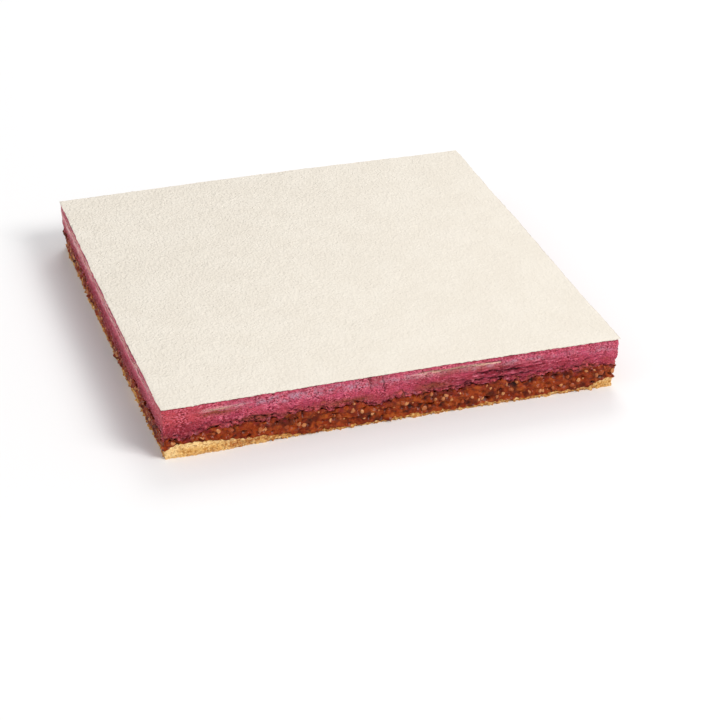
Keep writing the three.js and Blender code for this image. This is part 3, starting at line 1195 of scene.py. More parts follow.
@dataclass(frozen=True)
class CrunchFinish(Finish):
    """Nougat crunch: brown caramel with a soft gloss, stained by mousse towards its top, with painted shade
    in its low places and cracks.
    """

    name: str = "nougat_crunch"
    slot: str = "nougat_crunch"
    body: Colour = (0.195, 0.017, 0.001)
    patches: Colour = (0.31, 0.043, 0.004)
    grains: Colour = (0.55, 0.15, 0.022)
    # Colour of the painted shade in the low places of the relief.
    gaps: Colour = (0.050, 0.004, 0.001)
    # Painted shade where the broken face lies deep.
    hollow_shade: Colour = (0.024, 0.002, 0.001)
    stain: Colour = (0.20, 0.014, 0.018)

    def wire(self, graph: Graph) -> dict[str, Any]:
        """Mixes caramel colours, stains and gloss.

        Args:
            graph: Graph of the material.

        Returns:
            Values and outputs for the shader's inputs, by name.
        """
        place = graph.attribute(PLACE, "Vector")
        mottled = MOTTLE.place(graph, {
            "Place": place, "Colour": self.body, "Patches": self.patches, "Scale": 0.16, "Amount": 0.9,
        })
        cut = CUT.place(graph, {"Place": place, "Drag": 0.0, "Size": 0.4})
        colour = graph.mix(mottled["Colour"], self.grains, graph.times(cut["Grains"], 0.25))
        # Painted shade in the low places of the relief, with broad darker clouds.
        shaded = graph.remap(graph.noise(place, 0.14, 2.0), 0.5, 0.66, 0.0, 0.7)
        gaps = graph.math("MAXIMUM", shaded, graph.times(cut["Gaps"], 0.5))
        colour = graph.mix(colour, self.gaps, gaps)
        colour = graph.mix(colour, self.stain, graph.attribute("stain"))
        grain = GRAIN.place(graph, {
            "Place": place, "Scale": 0.5, "Pit Scale": 0.4, "Pit Depth": 0.1,
            "Relief": cut["Relief"], "Height": 0.3,
        })
        # Painted shade where the broken face lies deep.
        colour = graph.mix(colour, self.hollow_shade, graph.attribute("hollow_shade"))
        return {
            "Base Color": colour,
            "Roughness": graph.remap(mottled["Mask"], 0.0, 1.0, 0.2, 0.32),
            "Normal": grain["Normal"],
            "Specular IOR Level": 0.16,
        }


@dataclass(frozen=True)
class NutFinish(Finish):
    """Chopped nuts: ivory to roasted gold, glazed with caramel where they are not bare."""

    name: str = "chopped_nut"
    slot: str = "nougat_crunch"
    bare: Colour = (0.70, 0.35, 0.15)
    roasted: Colour = (0.52, 0.16, 0.03)
    glazed: Colour = (0.31, 0.052, 0.007)

    def wire(self, graph: Graph) -> dict[str, Any]:
        """Mixes bare, roasted and glazed nut.

        Args:
            graph: Graph of the material.

        Returns:
            Values and outputs for the shader's inputs, by name.
        """
        place = graph.attribute(PLACE, "Vector")
        mottled = MOTTLE.place(graph, {
            "Place": place, "Colour": self.bare, "Patches": self.roasted, "Scale": 0.6, "Amount": 0.7,
        })
        colour = graph.mix(mottled["Colour"], self.glazed, graph.attribute("glaze"))
        grain = GRAIN.place(graph, {
            "Place": place, "Scale": 1.4, "Pit Scale": 0.9, "Pit Depth": 0.3, "Height": 0.12,
        })
        return {
            "Base Color": colour,
            "Roughness": graph.remap(mottled["Mask"], 0.0, 1.0, 0.3, 0.45),
            "Normal": grain["Normal"],
            "Specular IOR Level": 0.3,
        }


@dataclass(frozen=True)
class VelvetFinish(Finish):
    """Sprayed cocoa butter velvet: cream white and matte, with bumps that grow towards the back left."""

    name: str = "velvet_coat"
    slot: str = "velvet_coat"
    body: Colour = (0.740, 0.684, 0.598)
    patches: Colour = (0.764, 0.711, 0.628)
    far: float = 190.0
    heights: tuple[float, float] = (0.5, 1.3)

    def wire(self, graph: Graph) -> dict[str, Any]:
        """Mixes two creams and the grain of the spray.

        Args:
            graph: Graph of the material.

        Returns:
            Values and outputs for the shader's inputs, by name.
        """
        here = graph.add("ShaderNodeTexCoord").outputs["Object"]
        place = graph.scaled(here, (1 / MM, 1 / MM, 1 / MM))
        mottled = MOTTLE.place(graph, {
            "Place": place, "Colour": self.body, "Patches": self.patches, "Scale": 0.05, "Amount": 1.0,
        })
        x_y = graph.add("ShaderNodeSeparateXYZ", inputs={0: place}).outputs
        height = graph.remap(graph.math("SUBTRACT", x_y[1], x_y[0]), -self.far, self.far, *self.heights)
        grain = GRAIN.place(graph, {
            "Place": place, "Scale": 0.62, "Detail": 1.0,
            "Pit Scale": 0.4, "Pit Depth": 0.0, "Height": height,
        })
        return {
            "Base Color": mottled["Colour"],
            "Roughness": graph.remap(mottled["Mask"], 0.0, 1.0, 0.7, 0.85),
            "Normal": grain["Normal"],
            "Specular IOR Level": 0.3,
        }


# ---- The cake ----


# Where the crunch hangs down over the edge of the base, and how far, in mm.
OVERRUN = (
    Patch(52, 0, 22, 14, 1, 1, 1.6),
    Patch(106, 0, 32, 34, 1, 1, 1.5),
    Patch(400, 0, 60, 60, 1, 1, 0.8),
    Patch(640, 0, 70, 60, 1, 1, 0.8),
)


@dataclass
class Edges:
    """Heights at which the layers meet along the cut sides, one for each column of the strip, in mm."""

    thinnest_base = 1.3
    thinnest_coat = 0.9

    base_top: Array
    crunch_top: Array
    skirt_top: Array
    sponge_foot: Array
    sponge_top: Array
    coat_foot: Array

    @classmethod
    def of(cls, survey: Survey) -> "Edges":
        """Reads the edges from the solids and roughens them as the knife tears them.

        Args:
            survey: The survey of the solids.

        Returns:
            The edges.
        """
        strip = survey.strip
        flat = np.zeros(len(strip.along))
        base_top = survey.edge("base_sponge", Reach.HIGHEST)
        base_top = base_top - sum(p.on(strip.along, flat, strip.outline.whole) for p in OVERRUN)
        crunch_top = survey.edge("lower_mousse", Reach.LOWEST)
        skirt_top = survey.edge("lower_mousse", Reach.HIGHEST)
        sponge_foot = survey.edge("middle_sponge", Reach.LOWEST)
        sponge_top = survey.edge("middle_sponge", Reach.HIGHEST)
        bare = sponge_top - skirt_top
        bare = bare - bare.min()
        opened = 0.9 * bare - 0.15 + 0.12 * strip.wander(204, 5.0) * smooth_step(bare, 0.05, 0.5)
        coat_foot = survey.edge("upper_mousse", Reach.HIGHEST)
        coat_foot = coat_foot + 0.1 * strip.wander(206, 1.8) + 0.1 * strip.wander(207, 7.0)
        base_top = base_top + 0.2 * strip.wander(201, 2.2) + 0.16 * strip.wander(202, 5.0)
        return cls(
            base_top=np.maximum(cls.thinnest_base, base_top),
            crunch_top=crunch_top + 0.5 * strip.wander(203, 2.6) + strip.wander(205, 8.0),
            skirt_top=sponge_top - np.maximum(0.0, opened),
            sponge_foot=sponge_foot,
            sponge_top=sponge_top,
            coat_foot=np.minimum(strip.height - cls.thinnest_coat, coat_foot),
        )


class Cake:
    """What all layers share: the survey, the edges, the levels inside the cake and the layer builder.

    Attributes:
        inner_room: Levels inside the cake are read further than this from the outline, in mm.
    """

    inner_room = 10.0

    def __init__(self) -> None:
        """Surveys the solids."""
        self.survey = Survey()
        self.strip = self.survey.strip
        self.edges = Edges.of(self.survey)
        self.layers = Layers(self.survey)

    def level(self, node: str, reach: Reach) -> float:
        """Reads how high a solid's underside or top lies inside the cake.

        Args:
            node: Name of the solid.
            reach: The underside or the top.

        Returns:
            The height, in mm.
        """
        places = self.survey.points(node)
        inner = np.abs(places[:, :2]).max(axis=1) < self.survey.outline.side / 2 - self.inner_room
        heights = places[inner, 2]
        return float(heights.min() if reach is Reach.LOWEST else heights.max())

    def levels(self, node: str) -> tuple[float, float]:
        """Heights of a solid's underside and top inside the cake, in mm."""
        return self.level(node, Reach.LOWEST), self.level(node, Reach.HIGHEST)

    def rows(self, low: Array, high: Array, count: int, relief: Array) -> list[Row]:
        """Spaces rows evenly between two edges.

        Args:
            low: Height of the lower edge at each column.
            high: Height of the upper edge at each column.
            count: Number of rows.
            relief: Depth of the wall on the strip's grid.

        Returns:
            The rows, from the lowest up.
        """
        made = []
        for share in np.linspace(0.0, 1.0, count):
            height = low + (high - low) * share
            made.append(Row(height, self.strip.at(relief, self.strip.along, height)))
        return made

    def place(self, piece: bpy.types.Object, finish: Finish, node: str | None = None) -> None:
        """Dresses a piece, lets it ride on the cake, and has it stand for a solid.

        Args:
            piece: The piece.
            finish: Its finish.
            node: Name of the solid it stands for, if it does.
        """
        finish.dress(piece)
        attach(piece, BODY)
        if node:
            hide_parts(node)
        log.info("%s: %d faces", piece.name, len(piece.data.polygons))


@dataclass
class CutLayer:
    """A layer of the cake, whose face shows on the cut sides."""

    cake: Cake

    @property
    def marks(self) -> Array:
        """Relief of the face inwards from the solids' wall, in mm."""
        raise NotImplementedError

    @cached_property
    def depth(self) -> Array:
        """Depth of the face inwards from the outline, in mm."""
        return self.cake.survey.depth + self.marks


@dataclass
class Mousse(CutLayer):
    """The two layers of berry mousse, whose cut faces run on into each other.

    Attributes:
        lower_rows, upper_rows: Rows of points in the walls of the thick and the thin mousse.
        groove: How far the edge of the thin sponge stands in behind the face, in mm.
        cover: The least mousse that hides the sponge's edge, in mm.
        sponge_room: How far above and below the sponge that holds, in mm.
    """

    lower_rows: int = 28
    upper_rows: int = 10
    groove: float = 0.8
    cover: float = 0.2
    sponge_room: float = 1.0
    # Where the greyish film lies, painted as sheen.
    bloom_sheen_patches: tuple[Patch, ...] = (
        Patch(96, 28.8, 52, 56, 2.8, 2.4, 1.0),
        Patch(205, 28.2, 56, 60, 1.6, 2.0, 0.65),
        Patch(276, 28.0, 10, 26, 3.5, 3.0, 0.35),
        Patch(400, 28.4, 60, 80, 2.4, 2.4, 0.7),
        Patch(610, 28.4, 90, 60, 2.2, 2.4, 0.6),
        Patch(760, 28.6, 50, 70, 2.4, 2.2, 0.7),
        Patch(980, 27.6, 120, 130, 2.4, 2.6, 0.5),
    )
    smear_and_sheen_patches: tuple[Patch, ...] = (
        Patch(36, 28.2, 11, 16, 0.9, 1.0, 1.0),
        Patch(176, 29.3, 24, 24, 1.0, 0.9, 1.3),
        Patch(332, 27.4, 30, 42, 2.0, 1.4, 0.7),
        Patch(480, 27.2, 44, 30, 2.2, 1.6, 0.7),
        Patch(640, 27.4, 34, 50, 2.0, 1.6, 0.7),
        Patch(790, 27.2, 30, 24, 2.0, 1.6, 0.7),
        Patch(885, 25.0, 50, 50, 4.0, 3.2, 1.0),
        Patch(985, 27.2, 70, 60, 2.8, 2.4, 1.0),
        Patch(1065, 27.8, 60, 50, 2.4, 2.4, 1.0),
    )
    stain_and_shadow_patches: tuple[Patch, ...] = (
        # Painted brownish shadow under a sponge streak.
        Patch(34, 26.0, 10, 12, 1.8, 1.5, 1.0),
        Patch(56, 17.8, 12, 12, 1.8, 1.6, 0.9),
        Patch(114, 18.6, 14, 13, 2.0, 2.0, 0.9),
        Patch(166, 19.6, 10, 12, 1.8, 2.4, 0.85),
        Patch(131, 29.0, 7, 6, 3.0, 3.0, 0.35),
        # Painted brownish shadow under a sponge streak.
        Patch(184, 27.2, 34, 44, 1.4, 1.0, 0.5),
    )
    dragged_patches: tuple[Patch, ...] = (
        Patch(205, 21.5, 60, 70, 5.0, 5.0),
        Patch(420, 22.0, 90, 80, 5.0, 6.0),
        Patch(700, 21.0, 110, 90, 5.0, 6.0),
        Patch(960, 20.0, 120, 120, 5.0, 6.0, 0.8),
    )
    lit_patches: tuple[Patch, ...] = (
        Patch(60, 16.8, 14, 18, 2.6, 2.6, 0.8),
        Patch(98, 17.4, 24, 34, 2.6, 2.6, 0.8),
        Patch(276, 15.6, 14, 16, 2.6, 2.6, 0.8),
        Patch(480, 17.0, 60, 50, 2.6, 2.6, 0.7),
        Patch(770, 17.0, 60, 50, 2.6, 2.6, 0.7),
    )
    flush_patches: tuple[Patch, ...] = (
        Patch(6, 25.0, 30, 24, 14.0, 14.0),
        Patch(560, 24.0, 40, 60, 14.0, 14.0, 0.7),
        Patch(812, 24.0, 50, 40, 14.0, 14.0, 0.7),
    )
    # Patches of painted shade in the dark of the lower mousse.
    low_shade_patches: tuple[Patch, ...] = (
        Patch(204, 22.4, 60, 52, 5.5, 4.4, 0.8),
        Patch(262, 20.5, 20, 24, 4.0, 3.0, 0.5),
        Patch(400, 20.0, 60, 70, 5.0, 4.0, 0.6),
        Patch(700, 20.0, 80, 60, 5.0, 4.0, 0.6),
    )
    scratches: tuple[Scratch, ...] = (
        Scratch(127.5, 22.5, 34.0, -1.2, 0.55, 1.0),
        Scratch(136.5, 19.5, 33.0, -2.2, 0.5, 0.9),
        Scratch(118.0, 24.0, 31.5, -0.6, 0.35, 0.45),
        Scratch(273.5, 27.0, 33.5, 1.2, 0.5, 0.6),
        Scratch(352.0, 21.0, 32.0, 1.4, 0.5, 0.7),
        Scratch(597.0, 20.0, 33.0, -1.8, 0.5, 0.8),
        Scratch(905.0, 22.0, 33.0, 1.6, 0.5, 0.7),
    )
    rips: tuple[Patch, ...] = (
        Patch(61, 17.6, 9, 10, 1.0, 1.0, 1.7),
        Patch(86, 17.4, 16, 12, 0.7, 0.7, 1.0),
        Patch(184, 16.6, 9, 9, 1.0, 1.0, 1.6),
        Patch(204, 23.6, 14, 12, 0.6, 0.5, 2.0),
        Patch(221, 22.6, 12, 12, 0.5, 0.6, 1.7),
        Patch(212, 18.6, 22, 18, 0.9, 0.8, 1.7),
        Patch(262, 17.6, 14, 12, 0.6, 0.6, 1.2),
        Patch(377, 21.0, 18, 22, 0.6, 0.6, 1.3),
        Patch(512, 18.4, 12, 16, 0.8, 0.7, 1.4),
        Patch(655, 22.0, 20, 18, 0.6, 0.6, 1.2),
        Patch(820, 19.6, 18, 14, 0.7, 0.7, 1.4),
    )

    @cached_property
    def crumble(self) -> Array:
        """How torn the mousse is: 1 just above the crunch, fading a few millimetres higher."""
        strip = self.cake.strip
        above = strip.grid[1] - self.cake.edges.crunch_top[:, None]
        ragged = above + 1.3 * strip.noise(301, 9.0, 3.0)
        return smooth_fall(ragged, 1.0, 4.6)

    @cached_property
    def seams(self) -> Array:
        """Wandering cracks in the torn mousse, with gaps where it still holds together."""
        strip = self.cake.strip
        above = strip.grid[1] - self.cake.edges.crunch_top[:, None]
        lines = np.zeros(above.shape)
        for seed, level, width in ((381, 0.4, 0.46), (384, 2.2, 0.42), (387, 4.0, 0.36)):
            course = level + 0.7 * strip.noise(seed, 9.0, 90.0) + 0.3 * strip.noise(seed + 1, 2.6, 30.0)
            open_here = smooth_step(strip.noise(seed + 2, 9.0, 5.0), -0.1, 0.9)
            lines = np.maximum(lines, open_here * smooth_fall(np.abs(above - course), 0.3 * width, width))
        return lines

    @cached_property
    def bloom_sheen(self) -> Array:
        """Where the knife left a greyish film on the face, its pale colour painted sheen, with painted
        highlight specks in the torn mousse.
        """
        strip = self.cake.strip
        spread = all_patches(self.bloom_sheen_patches, strip, 0.35 * strip.noise(302, 8.0, 2.0))
        # Painted highlights as specks in the torn mousse.
        highlight_specks = 0.4 * self.crumble * smooth_step(strip.noise(329, 3.2, 1.0), 0.7, 1.6)
        return np.clip(spread * (0.74 + 0.34 * strip.noise(303, 4.6, 2.2)) + highlight_specks, 0.0, 1.0)

    @cached_property
    def lumps(self) -> Array:
        """Painted highlights on the torn lumps just above the crunch and in the lit patches."""
        strip = self.cake.strip
        lit = all_patches(self.lit_patches, strip, 0.6 * strip.noise(330, 7.0, 2.0))
        bright = smooth_step(strip.noise(328, 2.8, 1.4), -0.3, 1.1)
        return np.clip(self.crumble * bright + lit * (0.3 + 0.9 * bright), 0.0, 1.0)

    @cached_property
    def smear_and_sheen(self) -> Array:
        """Where sponge is smeared over the mousse; its pale colour is partly painted sheen."""
        strip = self.cake.strip
        spread = all_patches(self.smear_and_sheen_patches, strip, 0.45 * strip.noise(304, 14.0, 1.4))
        return np.clip(spread * (0.75 + 0.35 * strip.noise(305, 10.0, 0.9)), 0.0, 1.0)

    @cached_property
    def stain(self) -> Array:
        """Where crunch is smeared over the mousse, with a painted brownish shadow under two of the sponge
        streaks.
        """
        strip = self.cake.strip
        spread = all_patches(self.stain_and_shadow_patches, strip, 0.5 * strip.noise(306, 6.0, 1.5))
        speckle = self.crumble * smooth_step(strip.noise(307, 4.0, 1.8), 0.3, 1.2) * 0.8
        return np.clip(spread + speckle, 0.0, 1.0)

    @cached_property
    def low_shade(self) -> Array:
        """Patches of painted shade where the dark of the lower mousse reaches up."""
        strip = self.cake.strip
        return all_patches(self.low_shade_patches, strip, 0.8 * strip.noise(326, 16.0, 2.0))

    @cached_property
    def dragged(self) -> Array:
        """Where the knife dragged the face out in long lines."""
        strip = self.cake.strip
        return all_patches(self.dragged_patches, strip, 1.2 * strip.noise(315, 20.0, 5.0))

    @cached_property
    def carved(self) -> Array:
        """Relief of the cut face, inwards from the solids' wall, in mm, as deep as the knife went."""
        strip = self.cake.strip
        along, height = strip.grid
        whole = strip.outline.whole
        worms = ridges(strip.noise(311, 1.9, 1.5), 0.9)
        relief = 0.26 * (0.5 - worms)
        relief += 0.16 * strip.noise(312, 13.0, 6.0) + 0.06 * strip.noise(313, 3.5, 2.5)
        relief += 0.06 * strip.noise(314, 0.9, 5.0) * (0.3 + self.bloom_sheen)
        dragged = self.dragged
        relief += dragged * (0.22 * strip.noise(316, 22.0, 1.1) + 0.18 * strip.noise(317, 7.0, 1.0))
        cracks = ridges(strip.noise(318, 17.0, 2.2), 0.14)
        cracks *= smooth_step(strip.noise(319, 12.0, 4.0), 0.2, 1.2)
        relief += cracks * np.clip(0.8 * dragged + 1.2 * self.crumble, 0.0, 1.0)
        lumps = 0.5 * strip.noise(320, 3.4, 1.7) + 0.5 * ridges(strip.noise(321, 3.6, 1.5), 0.5)
        relief += self.crumble * (0.35 + lumps) + 0.9 * self.seams
        relief += 0.55 * smooth_step(strip.noise(322, 1.5, 1.4), 2.0, 2.8)
        warp = 0.5 * strip.noise(323, 7.0, 3.0)
        uneven = 0.9 + 0.25 * strip.noise(324, 3.0, 1.0)
        for rip in self.rips:
            relief += rip.on(along + warp, height + 0.8 * warp, whole) * uneven
        for scratch in self.scratches:
            relief += scratch.on(along, height)
        rim = smooth_step(height - self.cake.edges.coat_foot[:, None], -1.6, -0.4)
        return np.maximum(relief, 0.6 * rim - 0.6)

    @cached_property
    def marks(self) -> Array:
        """Relief of the cut face, kept in front of the thin sponge."""
        edges, height = self.cake.edges, self.cake.strip.grid[1]
        low = edges.sponge_foot[:, None] - self.sponge_room
        high = edges.sponge_top[:, None] + self.sponge_room
        over_sponge = (height > low) & (height < high)
        return np.where(over_sponge, np.minimum(self.carved, self.groove - self.cover), self.carved)

    @cached_property
    def masks(self) -> dict[str, Array]:
        """The masks that the finish reads."""
        strip = self.cake.strip
        along, height = strip.grid
        above = height - self.cake.edges.coat_foot[:, None]
        # A painted shadow under the coat's rim, wider on the left side.
        on_left = smooth_step(along, *LEFT_SIDE_STARTS) * smooth_fall(along, *LEFT_SIDE_ENDS)
        on_left *= 1.2 * smooth_step(above, -2.4, -0.6)
        under_coat = np.maximum(smooth_step(above, -1.1, -0.1), on_left)
        shade = under_coat * (0.6 + 0.3 * strip.noise(325, 3.0, 0.8))
        # Painted shade where the face is carved deep, in the torn mousse above the crunch and in its cracks.
        carved = 0.9 * smooth_step(self.carved - 0.6 * self.crumble, 0.45, 1.3)
        torn = self.crumble * smooth_step(strip.noise(327, 2.2, 0.8), 0.6, 1.4)
        hollow_shade = np.maximum(carved, np.clip(shade, 0.0, 0.8))
        hollow_shade = np.maximum(hollow_shade, np.maximum(0.55 * torn, 0.85 * self.seams))
        flush = all_patches(self.flush_patches, strip)
        return {
            "bloom_sheen": self.bloom_sheen, "smear_and_sheen": self.smear_and_sheen, "stain": self.stain, "hollow_shade": hollow_shade,
            "dragged": self.dragged, "flush": flush, "low_shade": self.low_shade, "lumps": self.lumps,
        }

    def build_lower(self) -> bpy.types.Object:
        """Builds the thick mousse, with the skirt that the knife drew up over the edge of the sponge.

        Returns:
            The piece.
        """
        cake, edges = self.cake, self.cake.edges
        rows = cake.rows(edges.crunch_top, edges.skirt_top, self.lower_rows, self.depth)
        behind = self.sponge_depth
        rows += [Row(edges.skirt_top, behind), Row(edges.sponge_foot, behind)]
        return cake.layers.build("thick_mousse", rows, cake.levels("lower_mousse"), self.masks)

    def build_upper(self) -> bpy.types.Object:
        """Builds the thin mousse under the coat.

        Returns:
            The piece.
        """
        cake, edges = self.cake, self.cake.edges
        rows = [Row(edges.sponge_top, self.sponge_depth)]
        rows += cake.rows(edges.sponge_top, edges.coat_foot, self.upper_rows, self.depth)
        return cake.layers.build("thin_mousse", rows, cake.levels("upper_mousse"), self.masks)

    @cached_property
    def sponge_depth(self) -> Array:
        """Depth of the sponge's edge behind the mousse, at each column."""
        strip = self.cake.strip
        middle = (self.cake.edges.sponge_foot + self.cake.edges.sponge_top) / 2
        return strip.at(self.cake.survey.depth, strip.along, middle) + self.groove


@dataclass
class MiddleSponge:
    """The thin sponge between the two mousses, which shows only in streaks."""

    cake: Cake
    mousse: Mousse
    row_count: int = 9

    def build(self) -> bpy.types.Object:
        """Builds the sponge.

        Returns:
            The piece.
        """
        cake, edges = self.cake, self.cake.edges
        strip = cake.strip
        relief = np.minimum(0.1, 0.07 * strip.noise(331, 4.0, 1.2))
        bare = smooth_step(edges.sponge_top - edges.skirt_top, 0.2, 0.9)[:, None]
        bare = bare * smooth_step(strip.grid[1] - edges.skirt_top[:, None], -0.1, 0.5)
        face = self.mousse.sponge_depth[:, None] + relief - 0.5 * bare
        rows = cake.rows(edges.sponge_foot, edges.sponge_top, self.row_count, face)
        rows[0] = Row(edges.sponge_foot, self.mousse.sponge_depth)
        rows[-1] = Row(edges.sponge_top, self.mousse.sponge_depth)
        masks = {"toast": np.clip(0.1 + 0.2 * strip.noise(332, 5.0, 1.5), 0, 1), "torn": np.zeros(face.shape)}
        return cake.layers.build("middle_sponge_sheet", rows, cake.levels("middle_sponge"), masks)


@dataclass
class Crunch(CutLayer):
    """The nougat crunch: a craggy caramel wall."""

    row_count: int = 18

    @cached_property
    def marks(self) -> Array:
        """Relief of the broken face, in mm."""
        strip = self.cake.strip
        lumps = 0.46 * strip.noise(341, 5.5, 3.2) + 0.28 * strip.noise(342, 3.0, 1.8)
        fine = 0.05 * strip.noise(343, 1.1, 1.0)
        holes = smooth_step(strip.noise(344, 5.0, 2.0), 1.3, 2.3)
        cracks = ridges(strip.noise(347, 8.0, 3.4), 0.26)
        cracks *= smooth_step(strip.noise(348, 10.0, 5.0), -0.1, 0.9)
        return 0.15 + lumps + fine + holes + 1.1 * cracks

    def build(self) -> bpy.types.Object:
        """Builds the crunch without its nuts.

        Returns:
            The piece.
        """
        cake, edges, strip = self.cake, self.cake.edges, self.cake.strip
        rows = cake.rows(edges.base_top, edges.crunch_top, self.row_count, self.depth)
        below_edge = edges.crunch_top[:, None] - strip.grid[1] + 1.2 * strip.noise(345, 6.0, 2.0)
        stain = 0.7 * smooth_fall(below_edge, 0.6, 3.4) * smooth_step(strip.noise(346, 4.0, 1.8), -0.3, 1.2)
        # Painted shade where the broken face lies deep; the stain is mousse smeared over the crunch.
        masks = {"stain": stain, "hollow_shade": 0.9 * smooth_step(self.marks, 0.6, 1.5)}
        return cake.layers.build("nougat_crunch_slab", rows, cake.levels("crunch_layer"), masks)


@dataclass
class Base(CutLayer):
    """The sponge base: golden and solid at the front left, pressed to a thin ragged edge elsewhere."""

    row_count: int = 13
    # Browned spots, and painted shade along the foot of the left side.
    toast_and_shade_patches: tuple[Patch, ...] = (
        Patch(56, 4.2, 18, 30, 5.0, 4.0, 1.0),
        Patch(64, 5.6, 10, 14, 1.6, 3.0, 0.6),
        Patch(34, 2.0, 12, 16, 4.0, 3.0, 0.45),
        Patch(290, 5.0, 14, 30, 4.0, 4.0, 0.4),
        Patch(450, 4.0, 50, 60, 4.0, 4.0, 0.5),
        Patch(740, 4.0, 70, 60, 4.0, 4.0, 0.5),
        # Painted shade along the foot of the left side.
        Patch(1000, 3.0, 150, 120, 5.0, 5.0, 0.8),
    )

    @cached_property
    def marks(self) -> Array:
        """Relief of the crumb, in mm."""
        strip = self.cake.strip
        height = strip.grid[1]
        crumb = 0.2 * strip.noise(351, 1.5, 1.2) + 0.12 * strip.noise(352, 3.6, 2.4)
        holes = 0.7 * smooth_step(strip.noise(353, 1.6, 1.3), 1.2, 2.2)
        foot = smooth_fall(height, 0.0, 1.6)
        teeth = 0.55 + 0.6 * strip.noise(354, 1.5, 40.0) + 0.35 * strip.noise(355, 4.0, 40.0)
        thick = smooth_step(self.cake.edges.base_top, 4.0, 6.0)[:, None]
        return crumb + holes + foot * teeth * (1 - 0.75 * thick)

    def build(self) -> bpy.types.Object:
        """Builds the base.

        Returns:
            The piece.
        """
        cake, edges, strip = self.cake, self.cake.edges, self.cake.strip
        rows = cake.rows(np.zeros(len(strip.along)), edges.base_top, self.row_count, self.depth)
        along, height = strip.grid
        # The thin ragged edge takes the browned colour as painted shade.
        thin = smooth_fall(edges.base_top, 3.4, 4.8)[:, None]
        toast = all_patches(self.toast_and_shade_patches, strip, 0.8 * strip.noise(356, 5.0, 3.0))
        toast = np.maximum(toast, thin * (0.95 + 0.25 * strip.noise(358, 2.4, 1.2)))
        pale = 0.85 * smooth_step(height, 3.6, 7.2) + 0.2 * smooth_fall(height, 0.6, 1.6)
        pale = np.maximum(pale, 0.8 * smooth_fall(abs(along - 2.0), 4.0, 9.0))
        torn = pale * (1 - thin) * (1 + 0.3 * strip.noise(357, 3.0, 1.6))
        masks = {"toast": np.clip(toast, 0, 1), "torn": np.clip(torn, 0, 1)}
        return cake.layers.build("base_sponge_slab", rows, cake.levels("base_sponge"), masks)


